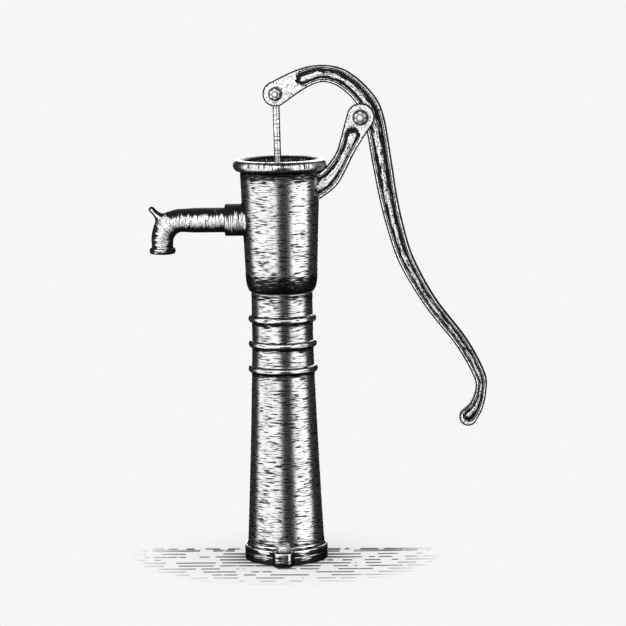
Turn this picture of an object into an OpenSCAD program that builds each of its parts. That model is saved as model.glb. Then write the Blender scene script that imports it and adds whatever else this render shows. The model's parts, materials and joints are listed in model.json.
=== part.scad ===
// Hand pitcher pump on a tapered column.
// Frame: origin in the middle of the base's underside, +Z up, spout towards -X, handle towards +X.

/* [Column and foot] */
// Height of the column, from the ground to the joint under the bowl
column_h = 405; // [395:1:415]
// Radius of the column at the foot
column_foot_r = 58; // [56:0.5:59]
// Radius of the column at the neck
column_neck_r = 46; // [45:0.5:47]
// Radius of the round foot flange
foot_r = 62.5; // [61:0.5:64]
// Thickness of the column's own foot flange
foot_t = 11; // [10:0.5:12]
// Radius of the circle that the foot bolts stand on
foot_bolt_circle_r = 69; // [68:0.5:71]
// Height of the highest bead on the column
top_bead_z = 366; // [360:1:370]
// Distance from one bead to the next
bead_step = 38; // [34:1:40]

/* [Bowl] */
// Radius of the bowl under its rim
bowl_top_r = 60; // [59:0.5:61]
// Radius of the bowl where it starts to round in
bowl_low_r = 54; // [53:0.5:55]
// Height of the middle of the rolled rim
rim_z = 596; // [592:1:600]
// Radius of the roll itself
rim_roll_r = 9; // [8:0.5:10]
// Wall thickness of the bowl
bowl_wall = 7; // [6.5:0.5:7.5]

/* [Cylinder and plunger] */
// Radius of the brass liner's bore, 76 mm across for a three inch pump
bore_r = 38; // [37.5:0.25:38.25]
// Travel of the plunger
stroke = 85; // [80:1:86]

/* [Spout] */
// Height of the spout's middle line
spout_z = 514; // [508:1:520]
// Outside radius of the spout pipe
spout_r = 18.5; // [18:0.25:19]
// Distance from the pump's axis to the middle of the nozzle
nozzle_x = 178; // [172:1:184]
// Radius of the spout's bend, at its middle line
bend_r = 30; // [29:1:32]

/* [Handle and bracket] */
// Place of the fulcrum bolt, along X
fulcrum_x = 122; // [121:0.5:123]
// Place of the fulcrum bolt, above the ground
fulcrum_z = 666; // [665:0.5:667]
// Thickness of the handle
handle_t = 14; // [13:0.5:14.5]
// Width of the raised border round the sunk panels
border = 4.5; // [4:0.5:5]

/* [Hidden] */
$fn = 64;
fit = 0.05;
base_t = 11;
foot_top = base_t + foot_t;
lug_r = 13;
base_hub_r = 27;
base_hub_top = 26;
port_r = 20.5;
port_depth = 19;
seat_hole_r = 15;
bolt12_r = 6;
bolt12_flats = 19;
bolt10_r = 5;
bolt10_flats = 17;
bolt8_r = 4;
bolt8_flats = 13;
washer_t = 1.5;

// Column: the radius shrinks from the foot to the waist by this power, and is straight above it
waist_z = 345;
taper_power = 1.3;
taper_steps = 12;
bead_r = 5;
column_wall = 7.5;
cavity_foot_r = column_foot_r - column_wall;
spigot_r = 43.5;
spigot_h = 20;
gasket_t = 1.5;
liner_wall = 2.5;
plunger_z = 354;
liner_bottom = plunger_z - stroke - 14;
liner_r = bore_r + liner_wall;
liner_top = column_h + spigot_h;

// Bowl
bowl_bottom = column_h + gasket_t;
bowl_floor = column_h + spigot_h;
round_start_z = 434;
round_steps = 6;
rim_r = bowl_top_r + 1;
boss_r = 24;
boss_end = 83;
boss_root = 48;
socket_depth = 20;
spout_bore_r = 13;

// Spout
bend_x = bend_r - nozzle_x;
bend_z = spout_z - bend_r;
bend_tube_r = 17.5;
nozzle_r = 16;
nozzle_bore_r = 12;
nozzle_end = 464;
lip_r = 19.5;
lip_h = 9;
pipe_in_x = boss_end - socket_depth;
horn_root_r = 8;
horn_tip_r = 4;
horn_from = 40;
horn_to = 63;

// Handle: [x, z, width] along its middle line, from the rod end to the grip
handle_line = [
  [-4, 702, 38], [34, 723, 31], [64, 731, 26], [94, 724, 27], [124, 698, 28], [141, 666, 30],
  [153, 596, 29], [161, 547, 27], [172, 498, 25], [188, 449, 23], [222, 388, 20],
  [268, 327, 19], [294, 278, 18], [296, 253, 17], [289, 230, 21], [277, 214, 27]
];
line_steps = 4;
rod_end = [-4, 702];
rod_end_r = 19;
fork_half = 12;
fork_gap = 5.6;
fork_slot_r = 25;
fork_last = 5;
panel_first = 6;
handle_web = 7;
fulcrum_boss_r = 20;
bush_r = 9;
grip_r = 13.5;

// Bracket: [x, z, width] along its middle line, from the bowl to the fulcrum
bracket_line = [
  [50, 560, 36], [73, 575, 32], [87, 593, 27], [97, 611, 25], [105, 629, 29], [113, 647, 35],
  [fulcrum_x, fulcrum_z, 42]
];
eye_r = 21;
arm_half = 10;
cheek_in = handle_t / 2 + 0.5;
cheek_out = cheek_in + 7;
cheek_first = 13;
crotch_r = 31;
bracket_sink = 3.5;
bracket_panel_last = 20;
palm_half = 15;
bracket_bolt_z = [561, 579];
spot_face_x = 51.4;
spot_face_r = 8.2;
bracket_bolt_in = spot_face_x - washer_t;
bracket_bolt_out = 76;

// Plunger, with its pieces stacked up from plunger_z
follower_t = 6;
leather_t = 4;
cup_lip = 3;
cup_h = 18;
disc_t = 8;
disc_r = bore_r - cup_lip - 1;
valve_port_r = 13;
cage_in = 23;
cage_out = 31;
cage_arm_w = 9;
bridge_t = 8;
bridge_z = 402;
bridge_hole_r = 10.8;
seat_z = plunger_z + follower_t + leather_t + disc_t;
poppet_r = 17;
poppet_t = 5;
poppet_stem_h = 14;

// Rod: it leans from the handle's end to the middle of the plunger's bridge
rod_r = 5.25;
rod_eye_r = 12;
rod_eye_half = 5.2;
rod_foot = [0, bridge_z + bridge_t / 2];
rod_lean = atan2(rod_end[0] - rod_foot[0], rod_end[1] - rod_foot[1]);
rod_length = norm(rod_end - rod_foot);
rod_play = 1;
rod_washer_r = 16.5;
rod_washer_t = 3;
rod_nut_h = 7;
rod_tail = 17;

// Foot valve
clack_r = 21;
clack_t = 4;
clack_leather_r = 22;
clack_leather_t = 3;
clack_hinge = [-30, base_hub_top + 5];
clack_pin_r = 2;
clack_eye_r = 4.5;
clack_eye_half = 6;
clack_lug_in = 6.5;
clack_lug_out = 12;

// ---- shared shapes

function reversed(list) = [for (i = [len(list) - 1 : -1 : 0]) list[i]];
function knot(line, i) = line[max(0, min(len(line) - 1, i))];

// A smooth curve through four knots, from the second to the third
function between(a, b, c, d, t) =
  0.5 * (2 * b + (c - a) * t + (2 * a - 5 * b + 4 * c - d) * t * t
    + (3 * b - a - 3 * c + d) * t * t * t);
function smooth_line(line, steps) = [
  for (i = [0 : len(line) - 2])
    for (k = [0 : steps - 1])
      between(knot(line, i - 1), line[i], line[i + 1], knot(line, i + 2), k / steps),
  line[len(line) - 1]
];
function part_of(line, first, last) = [for (i = [first : last]) line[i]];
function heading(line, i) =
  let (a = knot(line, i - 1), b = knot(line, i + 1), d = [b[0] - a[0], b[1] - a[1]]) d / norm(d);
function side(line, sign, inset) = [
  for (i = [0 : len(line) - 1])
    let (h = heading(line, i), half = line[i][2] / 2 - inset)
      [line[i][0] - sign * h[1] * half, line[i][1] + sign * h[0] * half]
];
function outline(line, inset) = concat(side(line, 1, inset), reversed(side(line, -1, inset)));

handle_path = smooth_line(handle_line, line_steps);
bracket_path = smooth_line(bracket_line, line_steps);

// A flat shape that is drawn in X and Z, thick along Y, from y = near to y = far
module plate(near, far) {
  translate([0, far, 0])
    rotate([90, 0, 0])
      linear_extrude(far - near) children();
}

// A straight round bar across the pump, through the point [x, z]
module across(place, near, far, r) {
  translate([place[0], near, place[1]])
    rotate([-90, 0, 0])
      cylinder(h = far - near, r = r);
}

// A hexagon with its corners turned off on the top face
module hexagon(flats, h) {
  corner_r = flats / 2 / cos(30);
  intersection() {
    cylinder(h = h, r = corner_r, $fn = 6);
    cylinder(h = h, r1 = corner_r + h - 1.2, r2 = corner_r - 1.2);
  }
}

module ring(r_out, r_in, h) {
  difference() {
    cylinder(h = h, r = r_out);
    translate([0, 0, -1]) cylinder(h = h + 2, r = r_in);
  }
}

module nut(r, flats, h) {
  difference() {
    hexagon(flats, h);
    translate([0, 0, -1]) cylinder(h = h + 2, r = r);
  }
}

// A bolt along +Z: its head is below z = 0, and its shank above
module bolt(r, flats, head_h, length) {
  rotate([180, 0, 0]) hexagon(flats, head_h);
  cylinder(h = length - 1.2, r = r);
  translate([0, 0, length - 1.2]) cylinder(h = 1.2, r1 = r, r2 = r - 1.2);
}

module at_foot_bolts() {
  for (turn = [-90, 90])
    rotate([0, 0, turn])
      translate([foot_bolt_circle_r, 0, 0]) children();
}

// The round foot outline with a lug at each bolt
module foot_disc(bottom, top) {
  translate([0, 0, bottom]) cylinder(h = top - bottom, r = foot_r, $fn = 96);
  for (turn = [-90, 90])
    rotate([0, 0, turn]) {
      translate([0, -lug_r, bottom]) cube([foot_bolt_circle_r, 2 * lug_r, top - bottom]);
      translate([foot_bolt_circle_r, 0, bottom]) cylinder(h = top - bottom, r = lug_r);
    }
}

// ---- base and foot valve

module base_plate() {
  color("dimgray")
    difference() {
      union() {
        foot_disc(0, base_t);
        cylinder(h = base_hub_top, r = base_hub_r);
        for (s = [-1, 1])
          translate([clack_hinge[0] - 4, s > 0 ? clack_lug_in : -clack_lug_out, base_t])
            cube([9, clack_lug_out - clack_lug_in, 25]);
      }
      translate([0, 0, -1]) cylinder(h = port_depth + 1, r = port_r);
      translate([0, 0, -1]) cylinder(h = base_hub_top + 2, r = seat_hole_r);
      at_foot_bolts() translate([0, 0, 2]) cylinder(h = base_t, r = bolt12_r + fit);
      across(clack_hinge, -clack_lug_out - 1, clack_lug_out + 1, clack_pin_r + fit);
    }
}

module foot_gasket() {
  color("saddlebrown")
    translate([0, 0, base_t]) ring(column_foot_r - 3, cavity_foot_r + 0.5, 1.5);
}

module clack_pin() {
  color("goldenrod")
    across(clack_hinge, -clack_lug_out, clack_lug_out, clack_pin_r);
}

module clack_plate() {
  color("goldenrod")
    difference() {
      union() {
        translate([0, 0, base_hub_top + clack_leather_t]) cylinder(h = clack_t, r = clack_r);
        translate([clack_hinge[0], -clack_eye_half, base_hub_top + clack_leather_t])
          cube([clack_r, 2 * clack_eye_half, clack_t]);
        across(clack_hinge, -clack_eye_half, clack_eye_half, clack_eye_r);
      }
      across(clack_hinge, -clack_eye_half - 1, clack_eye_half + 1, clack_pin_r + fit);
      translate([0, 0, base_hub_top]) cylinder(h = 12, r = bolt8_r + fit);
    }
}

module clack_leather() {
  color("saddlebrown")
    translate([0, 0, base_hub_top]) ring(clack_leather_r, bolt8_r + fit, clack_leather_t);
}

module clack_screw() {
  color("goldenrod") {
    translate([0, 0, base_hub_top + clack_leather_t + clack_t]) hexagon(bolt8_flats, 5);
    translate([0, 0, base_hub_top - 3]) cylinder(h = 11, r = bolt8_r);
    translate([0, 0, base_hub_top - 4]) cylinder(h = 4, r = 8);
  }
}

// ---- column

function column_r(z) =
  column_neck_r + (column_foot_r - column_neck_r)
    * pow(max(0, waist_z - z) / (waist_z - foot_top), taper_power);

module column_outside() {
  heights = [for (i = [0 : taper_steps]) foot_top + (waist_z - foot_top) * i / taper_steps];
  rotate_extrude()
    polygon(concat(
      [[0, base_t], [column_foot_r, base_t]],
      [for (z = heights) [column_r(z), z]],
      [
        [column_neck_r, column_h], [spigot_r, column_h],
        [spigot_r, column_h + spigot_h], [0, column_h + spigot_h]
      ]
    ));
}

module column_cavity() {
  rotate_extrude()
    polygon([
      [0, base_t - 1], [cavity_foot_r, base_t - 1], [cavity_foot_r, foot_top],
      [bore_r, liner_bottom - 20], [bore_r, liner_bottom], [liner_r + fit, liner_bottom],
      [liner_r + fit, column_h + spigot_h + 1], [0, column_h + spigot_h + 1]
    ]);
}

module column() {
  color("dimgray")
    difference() {
      union() {
        column_outside();
        foot_disc(base_t, foot_top);
        for (i = [0 : 2]) {
          z = top_bead_z - i * bead_step;
          rotate_extrude() translate([column_r(z), z]) circle(r = bead_r, $fn = 32);
        }
      }
      column_cavity();
      translate([0, 0, base_t - 1]) cylinder(h = 2.6, r = column_foot_r - 2.9);
      at_foot_bolts() cylinder(h = foot_top + 1, r = bolt12_r + 0.5);
    }
}

module foot_bolts() {
  color("silver")
    at_foot_bolts()
      translate([0, 0, foot_top + washer_t])
        rotate([180, 0, 0]) bolt(bolt12_r, bolt12_flats, 8, 20);
}

module foot_washers() {
  color("silver")
    at_foot_bolts()
      translate([0, 0, foot_top]) ring(11, bolt12_r + 0.4, washer_t);
}

module cylinder_liner() {
  color("goldenrod")
    translate([0, 0, liner_bottom]) ring(liner_r, bore_r, liner_top - liner_bottom);
}

module neck_gasket() {
  color("saddlebrown")
    translate([0, 0, column_h]) ring(column_neck_r, spigot_r + 0.2, gasket_t);
}

// ---- bowl and spout

// The bowl's outside radius on its straight flare
function bowl_r(z) =
  bowl_low_r + (bowl_top_r - bowl_low_r) * (z - round_start_z) / (rim_z - round_start_z);

// The bowl's outside, from the neck up to the rim: a quarter round, then a long straight flare
bowl_side = concat(
  [
    for (i = [0 : round_steps])
      let (a = 90 * i / round_steps)
        [
          column_neck_r + (bowl_low_r - column_neck_r) * sin(a),
          round_start_z - (round_start_z - bowl_bottom) * cos(a)
        ]
  ],
  [[bowl_top_r, rim_z]]
);

module bowl_cavity() {
  low = bowl_low_r - bowl_wall;
  rotate_extrude()
    polygon([
      [0, bowl_floor], [low - 5, bowl_floor], [low, bowl_floor + 10],
      [bowl_top_r - bowl_wall, rim_z - 2], [bowl_top_r - bowl_wall, rim_z + 20], [0, rim_z + 20]
    ]);
}

module bowl_outside() {
  rotate_extrude() polygon(concat([[0, bowl_bottom]], bowl_side, [[0, rim_z]]));
}

// The way from the bowl into the spout, round and level
module passage() {
  translate([-boss_end - 1, 0, spout_z])
    rotate([0, 90, 0]) cylinder(h = boss_end - 10, r = spout_bore_r + 0.5);
}

module bowl() {
  color("dimgray")
    difference() {
      bowl_outside();
      bowl_cavity();
      translate([0, 0, bowl_bottom - 1]) cylinder(h = spigot_h + 2, r = spigot_r + fit);
      passage();
      for (z = bracket_bolt_z)
        translate([30, 0, z]) rotate([0, 90, 0]) {
          cylinder(h = 40, r = bolt8_r + 0.2);
          cylinder(h = spot_face_x - 30, r = spot_face_r);
        }
    }
}

// The rolled rim, the boss and the wall are one casting. Each is a node of its own.
module bowl_rim() {
  color("dimgray")
    difference() {
      rotate_extrude() translate([rim_r, rim_z]) circle(r = rim_roll_r, $fn = 48);
      bowl_outside();
      bowl_cavity();
    }
}

module spout_boss() {
  color("dimgray")
    difference() {
      translate([-boss_end, 0, spout_z])
        rotate([0, 90, 0]) cylinder(h = boss_end - boss_root, r = boss_r);
      bowl_outside();
      passage();
      translate([-boss_end - 1, 0, spout_z])
        rotate([0, 90, 0]) cylinder(h = socket_depth + 1, r = spout_r + fit);
    }
}

// One quarter of a ring in the XZ plane, which turns the spout from level to straight down
module bend(r) {
  translate([bend_x, 0, bend_z])
    rotate([90, 0, 0])
      rotate([0, 0, 90])
        rotate_extrude(angle = 90) translate([bend_r, 0]) circle(r = r, $fn = 48);
}

module spout() {
  color("dimgray")
    difference() {
      union() {
        translate([bend_x, 0, spout_z])
          rotate([0, 90, 0]) cylinder(h = 20, r1 = bend_tube_r, r2 = spout_r);
        translate([bend_x + 20, 0, spout_z])
          rotate([0, 90, 0]) cylinder(h = -pipe_in_x - bend_x - 20, r = spout_r);
        bend(bend_tube_r);
        translate([-nozzle_x, 0, nozzle_end])
          cylinder(h = bend_z - nozzle_end, r1 = nozzle_r, r2 = bend_tube_r);
        translate([-nozzle_x, 0, nozzle_end + lip_h / 2]) cylinder(h = lip_h, r = lip_r, center = true);
        translate([bend_x, 0, bend_z])
          rotate([0, -45, 0])
            translate([0, 0, horn_from]) {
              cylinder(h = horn_to - horn_from, r1 = horn_root_r, r2 = horn_tip_r);
              translate([0, 0, horn_to - horn_from]) sphere(r = horn_tip_r, $fn = 32);
            }
      }
      translate([bend_x, 0, spout_z])
        rotate([0, 90, 0]) cylinder(h = nozzle_x, r = spout_bore_r);
      bend(spout_bore_r);
      translate([-nozzle_x, 0, nozzle_end - 1])
        cylinder(h = bend_z - nozzle_end + 1, r = nozzle_bore_r);
    }
}

// ---- bracket and fulcrum

module bracket_blank() {
  plate(-arm_half, arm_half) polygon(outline(bracket_path, 0));
  upper = part_of(bracket_path, cheek_first, len(bracket_path) - 1);
  plate(-cheek_out, cheek_out) polygon(outline(upper, 0));
  across([fulcrum_x, fulcrum_z], -cheek_out, cheek_out, eye_r);
  palm = part_of(bracket_path, 0, 6);
  plate(-palm_half, palm_half) polygon(outline(palm, 0));
}

module bracket_panels() {
  panel = part_of(bracket_path, 4, bracket_panel_last);
  for (s = [-1, 1]) {
    floor_y = s * (cheek_out - bracket_sink);
    low_y = s * (arm_half - bracket_sink);
    end = panel[len(panel) - 1];
    plate(min(floor_y, s * 30), max(floor_y, s * 30)) polygon(outline(panel, border));
    across([end[0], end[1]], min(floor_y, s * 30), max(floor_y, s * 30), end[2] / 2 - border);
    plate(min(low_y, s * 30), max(low_y, s * 30))
      polygon(outline(part_of(bracket_path, 6, cheek_first), border));
  }
}

module handle_bracket() {
  color("dimgray")
    difference() {
      bracket_blank();
      bracket_panels();
      across([fulcrum_x, fulcrum_z], -cheek_in, cheek_in, crotch_r);
      rotate_extrude()
        polygon([[0, 500], [bowl_r(500) + fit, 500], [bowl_r(rim_z) + fit, rim_z], [0, rim_z]]);
      rotate_extrude() translate([rim_r, rim_z]) circle(r = rim_roll_r + 0.1, $fn = 48);
      across([fulcrum_x, fulcrum_z], -cheek_out - 1, cheek_out + 1, bolt12_r + fit);
      for (z = bracket_bolt_z)
        translate([40, 0, z]) rotate([0, 90, 0]) cylinder(h = bracket_bolt_out - 40, r = bolt8_r + fit);
    }
}

module bracket_bolts() {
  color("silver")
    for (z = bracket_bolt_z)
      translate([bracket_bolt_in, 0, z])
        rotate([0, 90, 0]) bolt(bolt8_r, bolt8_flats, 5.5, 24);
}

module bracket_washers() {
  color("saddlebrown")
    for (z = bracket_bolt_z)
      translate([bracket_bolt_in, 0, z]) rotate([0, 90, 0]) ring(7.5, bolt8_r + 0.2, washer_t);
}

module cross_bolt(place, r, flats, half, head_h, tail) {
  translate([place[0], half + washer_t, place[1]])
    rotate([90, 0, 0]) bolt(r, flats, head_h, 2 * (half + washer_t) + tail);
}

module cross_nut(place, r, flats, half, h) {
  translate([place[0], -half - washer_t, place[1]])
    rotate([90, 0, 0]) nut(r, flats, h);
}

module cross_washers(place, r, r_out, half) {
  for (y = [-half - washer_t, half])
    translate([place[0], y, place[1]])
      rotate([-90, 0, 0]) ring(r_out, r + 0.3, washer_t);
}

module fulcrum_bolt() {
  color("silver")
    cross_bolt([fulcrum_x, fulcrum_z], bolt12_r, bolt12_flats, cheek_out, 7.5, 12);
}

module fulcrum_nut() {
  color("silver")
    cross_nut([fulcrum_x, fulcrum_z], bolt12_r, bolt12_flats, cheek_out, 8);
}

module fulcrum_washers() {
  color("silver")
    cross_washers([fulcrum_x, fulcrum_z], bolt12_r, 12, cheek_out);
}

// ---- handle

module handle_panels() {
  panel = part_of(handle_path, panel_first, len(handle_path) - 2);
  first = panel[0];
  last = panel[len(panel) - 1];
  for (s = [-1, 1]) {
    near = min(s * handle_web / 2, s * 30);
    far = max(s * handle_web / 2, s * 30);
    plate(near, far) polygon(outline(panel, border));
    across([first[0], first[1]], near, far, first[2] / 2 - border);
    across([last[0], last[1]], near, far, last[2] / 2 - border);
  }
}

module handle() {
  half = handle_t / 2;
  tip = handle_line[len(handle_line) - 1];
  color("dimgray")
    difference() {
      union() {
        difference() {
          union() {
            plate(-half, half) polygon(outline(handle_path, 0));
            across([tip[0], tip[1]], -half, half, grip_r);
          }
          handle_panels();
        }
        plate(-fork_half, fork_half) polygon(outline(part_of(handle_path, 0, fork_last), 0));
        across(rod_end, -fork_half, fork_half, rod_end_r);
        across([fulcrum_x, fulcrum_z], -half, half, fulcrum_boss_r);
      }
      across(rod_end, -fork_gap, fork_gap, fork_slot_r);
      across(rod_end, -fork_half - 1, fork_half + 1, bolt10_r + fit);
      across([fulcrum_x, fulcrum_z], -half - 1, half + 1, bush_r + fit);
    }
}

module fulcrum_bush() {
  color("goldenrod")
    translate([fulcrum_x, -handle_t / 2 - 0.3, fulcrum_z])
      rotate([-90, 0, 0]) ring(bush_r, bolt12_r + fit, handle_t + 0.6);
}

module rod_pin() {
  color("silver")
    cross_bolt(rod_end, bolt10_r, bolt10_flats, fork_half, 6.5, 10);
}

module rod_pin_nut() {
  color("silver")
    cross_nut(rod_end, bolt10_r, bolt10_flats, fork_half, 7);
}

module rod_pin_washers() {
  color("silver")
    cross_washers(rod_end, bolt10_r, 10.5, fork_half);
}

// ---- rod: drawn upright from the middle of the plunger's bridge, then leaned over to the handle's end

module lean() {
  translate([rod_foot[0], 0, rod_foot[1]])
    rotate([0, rod_lean, 0]) children();
}

module pump_rod() {
  color("silver")
    difference() {
      lean() {
        translate([0, 0, -rod_tail]) cylinder(h = rod_length + rod_tail - 6, r = rod_r);
        across([0, rod_length], -rod_eye_half, rod_eye_half, rod_eye_r);
      }
      across(rod_end, -rod_eye_half - 1, rod_eye_half + 1, bolt10_r + fit);
    }
}

module rod_stop_washers() {
  gap = bridge_t / 2 + rod_play;
  color("silver")
    lean()
      for (z = [gap, -gap - rod_washer_t])
        translate([0, 0, z]) ring(rod_washer_r, rod_r, rod_washer_t);
}

module rod_nut() {
  color("silver")
    lean()
      translate([0, 0, -bridge_t / 2 - rod_play - rod_washer_t])
        rotate([180, 0, 0]) nut(rod_r, bolt10_flats, rod_nut_h);
}

// ---- plunger

module plunger_cage() {
  disc_z = plunger_z + follower_t + leather_t;
  color("goldenrod")
    difference() {
      union() {
        translate([0, 0, disc_z]) cylinder(h = disc_t, r = disc_r);
        translate([0, 0, bridge_z]) cylinder(h = bridge_t, r = cage_out);
        for (turn = [0 : 120 : 240])
          rotate([0, 0, turn])
            translate([cage_in, -cage_arm_w / 2, disc_z + 1])
              cube([cage_out - cage_in - 1, cage_arm_w, bridge_z - disc_z]);
      }
      translate([0, 0, disc_z - 1]) cylinder(h = disc_t + 2, r = valve_port_r);
      translate([0, 0, bridge_z - 1]) cylinder(h = bridge_t + 2, r = bridge_hole_r);
    }
}

module cup_leather() {
  color("saddlebrown")
    translate([0, 0, plunger_z + follower_t])
      difference() {
        cylinder(h = cup_h, r = bore_r - 0.1);
        translate([0, 0, leather_t]) cylinder(h = cup_h, r = disc_r);
        translate([0, 0, -1]) cylinder(h = leather_t + 2, r = valve_port_r);
      }
}

module plunger_follower() {
  color("goldenrod")
    translate([0, 0, plunger_z]) ring(disc_r - 1, valve_port_r, follower_t);
}

module plunger_valve() {
  color("goldenrod")
    translate([0, 0, seat_z]) {
      cylinder(h = poppet_t, r = poppet_r);
      cylinder(h = poppet_t + 3, r = 6);
      for (turn = [0, 60, 120])
        rotate([0, 0, turn])
          translate([-valve_port_r + 0.3, -1, -poppet_stem_h])
            cube([2 * valve_port_r - 0.6, 2, poppet_stem_h + 1]);
    }
}

base_plate();
foot_gasket();
column();
foot_bolts();
foot_washers();
cylinder_liner();
neck_gasket();
bowl();
bowl_rim();
spout_boss();
spout();
handle_bracket();
bracket_bolts();
bracket_washers();
fulcrum_bolt();
fulcrum_nut();
fulcrum_washers();
handle();
fulcrum_bush();
rod_pin();
rod_pin_nut();
rod_pin_washers();
pump_rod();
rod_stop_washers();
rod_nut();
plunger_cage();
cup_leather();
plunger_follower();
plunger_valve();
clack_plate();
clack_leather();
clack_screw();
clack_pin();
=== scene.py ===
import bpy
import bmesh
import json
import math
import numpy
from mathutils import Matrix, Vector


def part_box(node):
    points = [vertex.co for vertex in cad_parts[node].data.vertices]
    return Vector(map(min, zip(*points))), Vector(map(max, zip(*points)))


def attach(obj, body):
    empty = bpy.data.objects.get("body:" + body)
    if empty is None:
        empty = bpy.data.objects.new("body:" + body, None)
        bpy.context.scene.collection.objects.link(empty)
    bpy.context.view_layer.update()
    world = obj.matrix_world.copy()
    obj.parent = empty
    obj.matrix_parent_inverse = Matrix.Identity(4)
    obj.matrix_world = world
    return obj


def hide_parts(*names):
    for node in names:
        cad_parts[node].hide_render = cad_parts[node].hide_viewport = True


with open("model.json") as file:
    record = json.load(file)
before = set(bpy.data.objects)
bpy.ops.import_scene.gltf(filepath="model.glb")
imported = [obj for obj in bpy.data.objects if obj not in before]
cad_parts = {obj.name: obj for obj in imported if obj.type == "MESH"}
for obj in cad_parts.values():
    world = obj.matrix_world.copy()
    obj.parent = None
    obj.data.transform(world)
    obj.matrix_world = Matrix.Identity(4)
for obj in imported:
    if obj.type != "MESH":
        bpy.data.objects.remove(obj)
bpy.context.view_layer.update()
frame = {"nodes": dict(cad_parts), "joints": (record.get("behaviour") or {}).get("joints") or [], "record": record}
mm = 0.001
print("frame loaded:", len(frame["nodes"]), "nodes")

# places that the frame gives, in mm

joints = {j["name"]: j for j in frame["joints"]}
mounts = {m["name"]: m for m in frame["record"]["mounts"]}


def low(node, axis):
    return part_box(node)[0][axis] / mm


def high(node, axis):
    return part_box(node)[1][axis] / mm


fulcrum = [c / mm for c in joints["handle_lift"]["pos_m"]]
rodEnd = [c / mm for c in joints["rod_swing"]["pos_m"]]
nozzleX = mounts["spout_outlet"]["pos_m"][0] / mm
baseTop = 11
footTop = 22
neckZ = low("neck_gasket", 2)
bowlBottom = low("bowl", 2)
nozzleEnd = low("spout", 2)
spoutStart = -high("spout", 0)
spoutBossEnd = low("spout_boss", 0)
handleHalf = 7

# mesh helpers


def smoothstep(a, b, x):
    t = min(1, max(0, (x - a) / (b - a)))
    return t * t * (3 - 2 * t)


def blendMax(a, b, soft):
    # the larger of two values, with a round fillet where they cross
    return (a + b + math.sqrt((a - b) ** 2 + soft * soft)) / 2


def makePiece(name, verts, faces, sharp=35):
    mesh = bpy.data.meshes.new(name)
    mesh.from_pydata([[c * mm for c in v] for v in verts], [], faces)
    bm = bmesh.new()
    bm.from_mesh(mesh)
    bmesh.ops.remove_doubles(bm, verts=bm.verts, dist=0.02 * mm)
    bmesh.ops.dissolve_degenerate(bm, edges=bm.edges, dist=0.005 * mm)
    bmesh.ops.recalc_face_normals(bm, faces=bm.faces)
    bm.to_mesh(mesh)
    bm.free()
    mesh.shade_smooth()
    mesh.set_sharp_from_angle(angle=math.radians(sharp))
    piece = bpy.data.objects.new(name, mesh)
    bpy.context.scene.collection.objects.link(piece)
    return piece


def gridFaces(rows, cols, closeRows=False, closeCols=False):
    faces = []
    for i in range(rows if closeRows else rows - 1):
        for j in range(cols if closeCols else cols - 1):
            a, b = i, (i + 1) % rows
            c, d = j, (j + 1) % cols
            faces.append((a * cols + c, a * cols + d, b * cols + d, b * cols + c))
    return faces


def rounded(corners, closed=True):
    # a polyline whose corners are arcs: each corner is (u, v, radius)
    step = 1.6
    out = []
    count = len(corners)
    for i, (u, v, radius) in enumerate(corners):
        if radius <= 0 or (not closed and i in (0, count - 1)):
            out.append((u, v))
            continue
        here = Vector((u, v))
        before = Vector(corners[i - 1][:2]) - here
        after = Vector(corners[(i + 1) % count][:2]) - here
        turn = before.angle(after)
        reach = min(radius / math.tan(turn / 2), before.length * 0.49, after.length * 0.49)
        real = reach * math.tan(turn / 2)
        inward = (before.normalized() + after.normalized()).normalized()
        middle = here + inward * math.hypot(reach, real)
        start = here + before.normalized() * reach - middle
        end = here + after.normalized() * reach - middle
        bend = start.angle_signed(end)
        pieces = max(3, round(real * abs(bend) / step))
        for k in range(pieces + 1):
            spun = start.copy()
            spun.rotate(Matrix.Rotation(-bend * k / pieces, 2))
            out.append(tuple(middle + spun))
    return out


def refined(profile, closed, longest):
    # extra points on the long straight stretches, so that bumps and the painted shade have vertices to sit on
    out = []
    count = len(profile)
    for i in range(count if closed else count - 1):
        a, b = Vector(profile[i]), Vector(profile[(i + 1) % count])
        parts = max(1, math.ceil((b - a).length / longest))
        out += [tuple(a.lerp(b, k / parts)) for k in range(parts)]
    if not closed:
        out.append(profile[-1])
    return out


def lathe(name, profile, turns=144, closed=True, radiusAt=None):
    # turns a profile of (radius, height) about Z; radiusAt may change the radius with the angle
    verts = []
    for r, z in profile:
        for j in range(turns):
            a = 2 * math.pi * j / turns
            out = radiusAt(r, a) if radiusAt else r
            verts.append((out * math.cos(a), out * math.sin(a), z))
    return makePiece(name, verts, gridFaces(len(profile), turns, closed, True))


def join(target, *others):
    bpy.ops.object.select_all(action="DESELECT")
    for other in others:
        other.select_set(True)
    target.select_set(True)
    bpy.context.view_layer.objects.active = target
    bpy.ops.object.join()
    return target


def cut(piece, *tools):
    for tool in tools:
        knife = piece.modifiers.new("cut", "BOOLEAN")
        knife.operation = "DIFFERENCE"
        knife.solver = "EXACT"
        knife.object = tool
        applyAll(piece)
        bpy.data.objects.remove(tool)
    return piece


def applyAll(piece):
    # the evaluated shape becomes a plain mesh, and no modifier is left
    depsgraph = bpy.context.evaluated_depsgraph_get()
    made = bpy.data.meshes.new_from_object(piece.evaluated_get(depsgraph))
    piece.modifiers.clear()
    piece.data = made


def smoothShade(piece, sharp=32):
    piece.data.shade_smooth()
    piece.data.set_sharp_from_angle(angle=math.radians(sharp))


# node tree helpers


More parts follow.
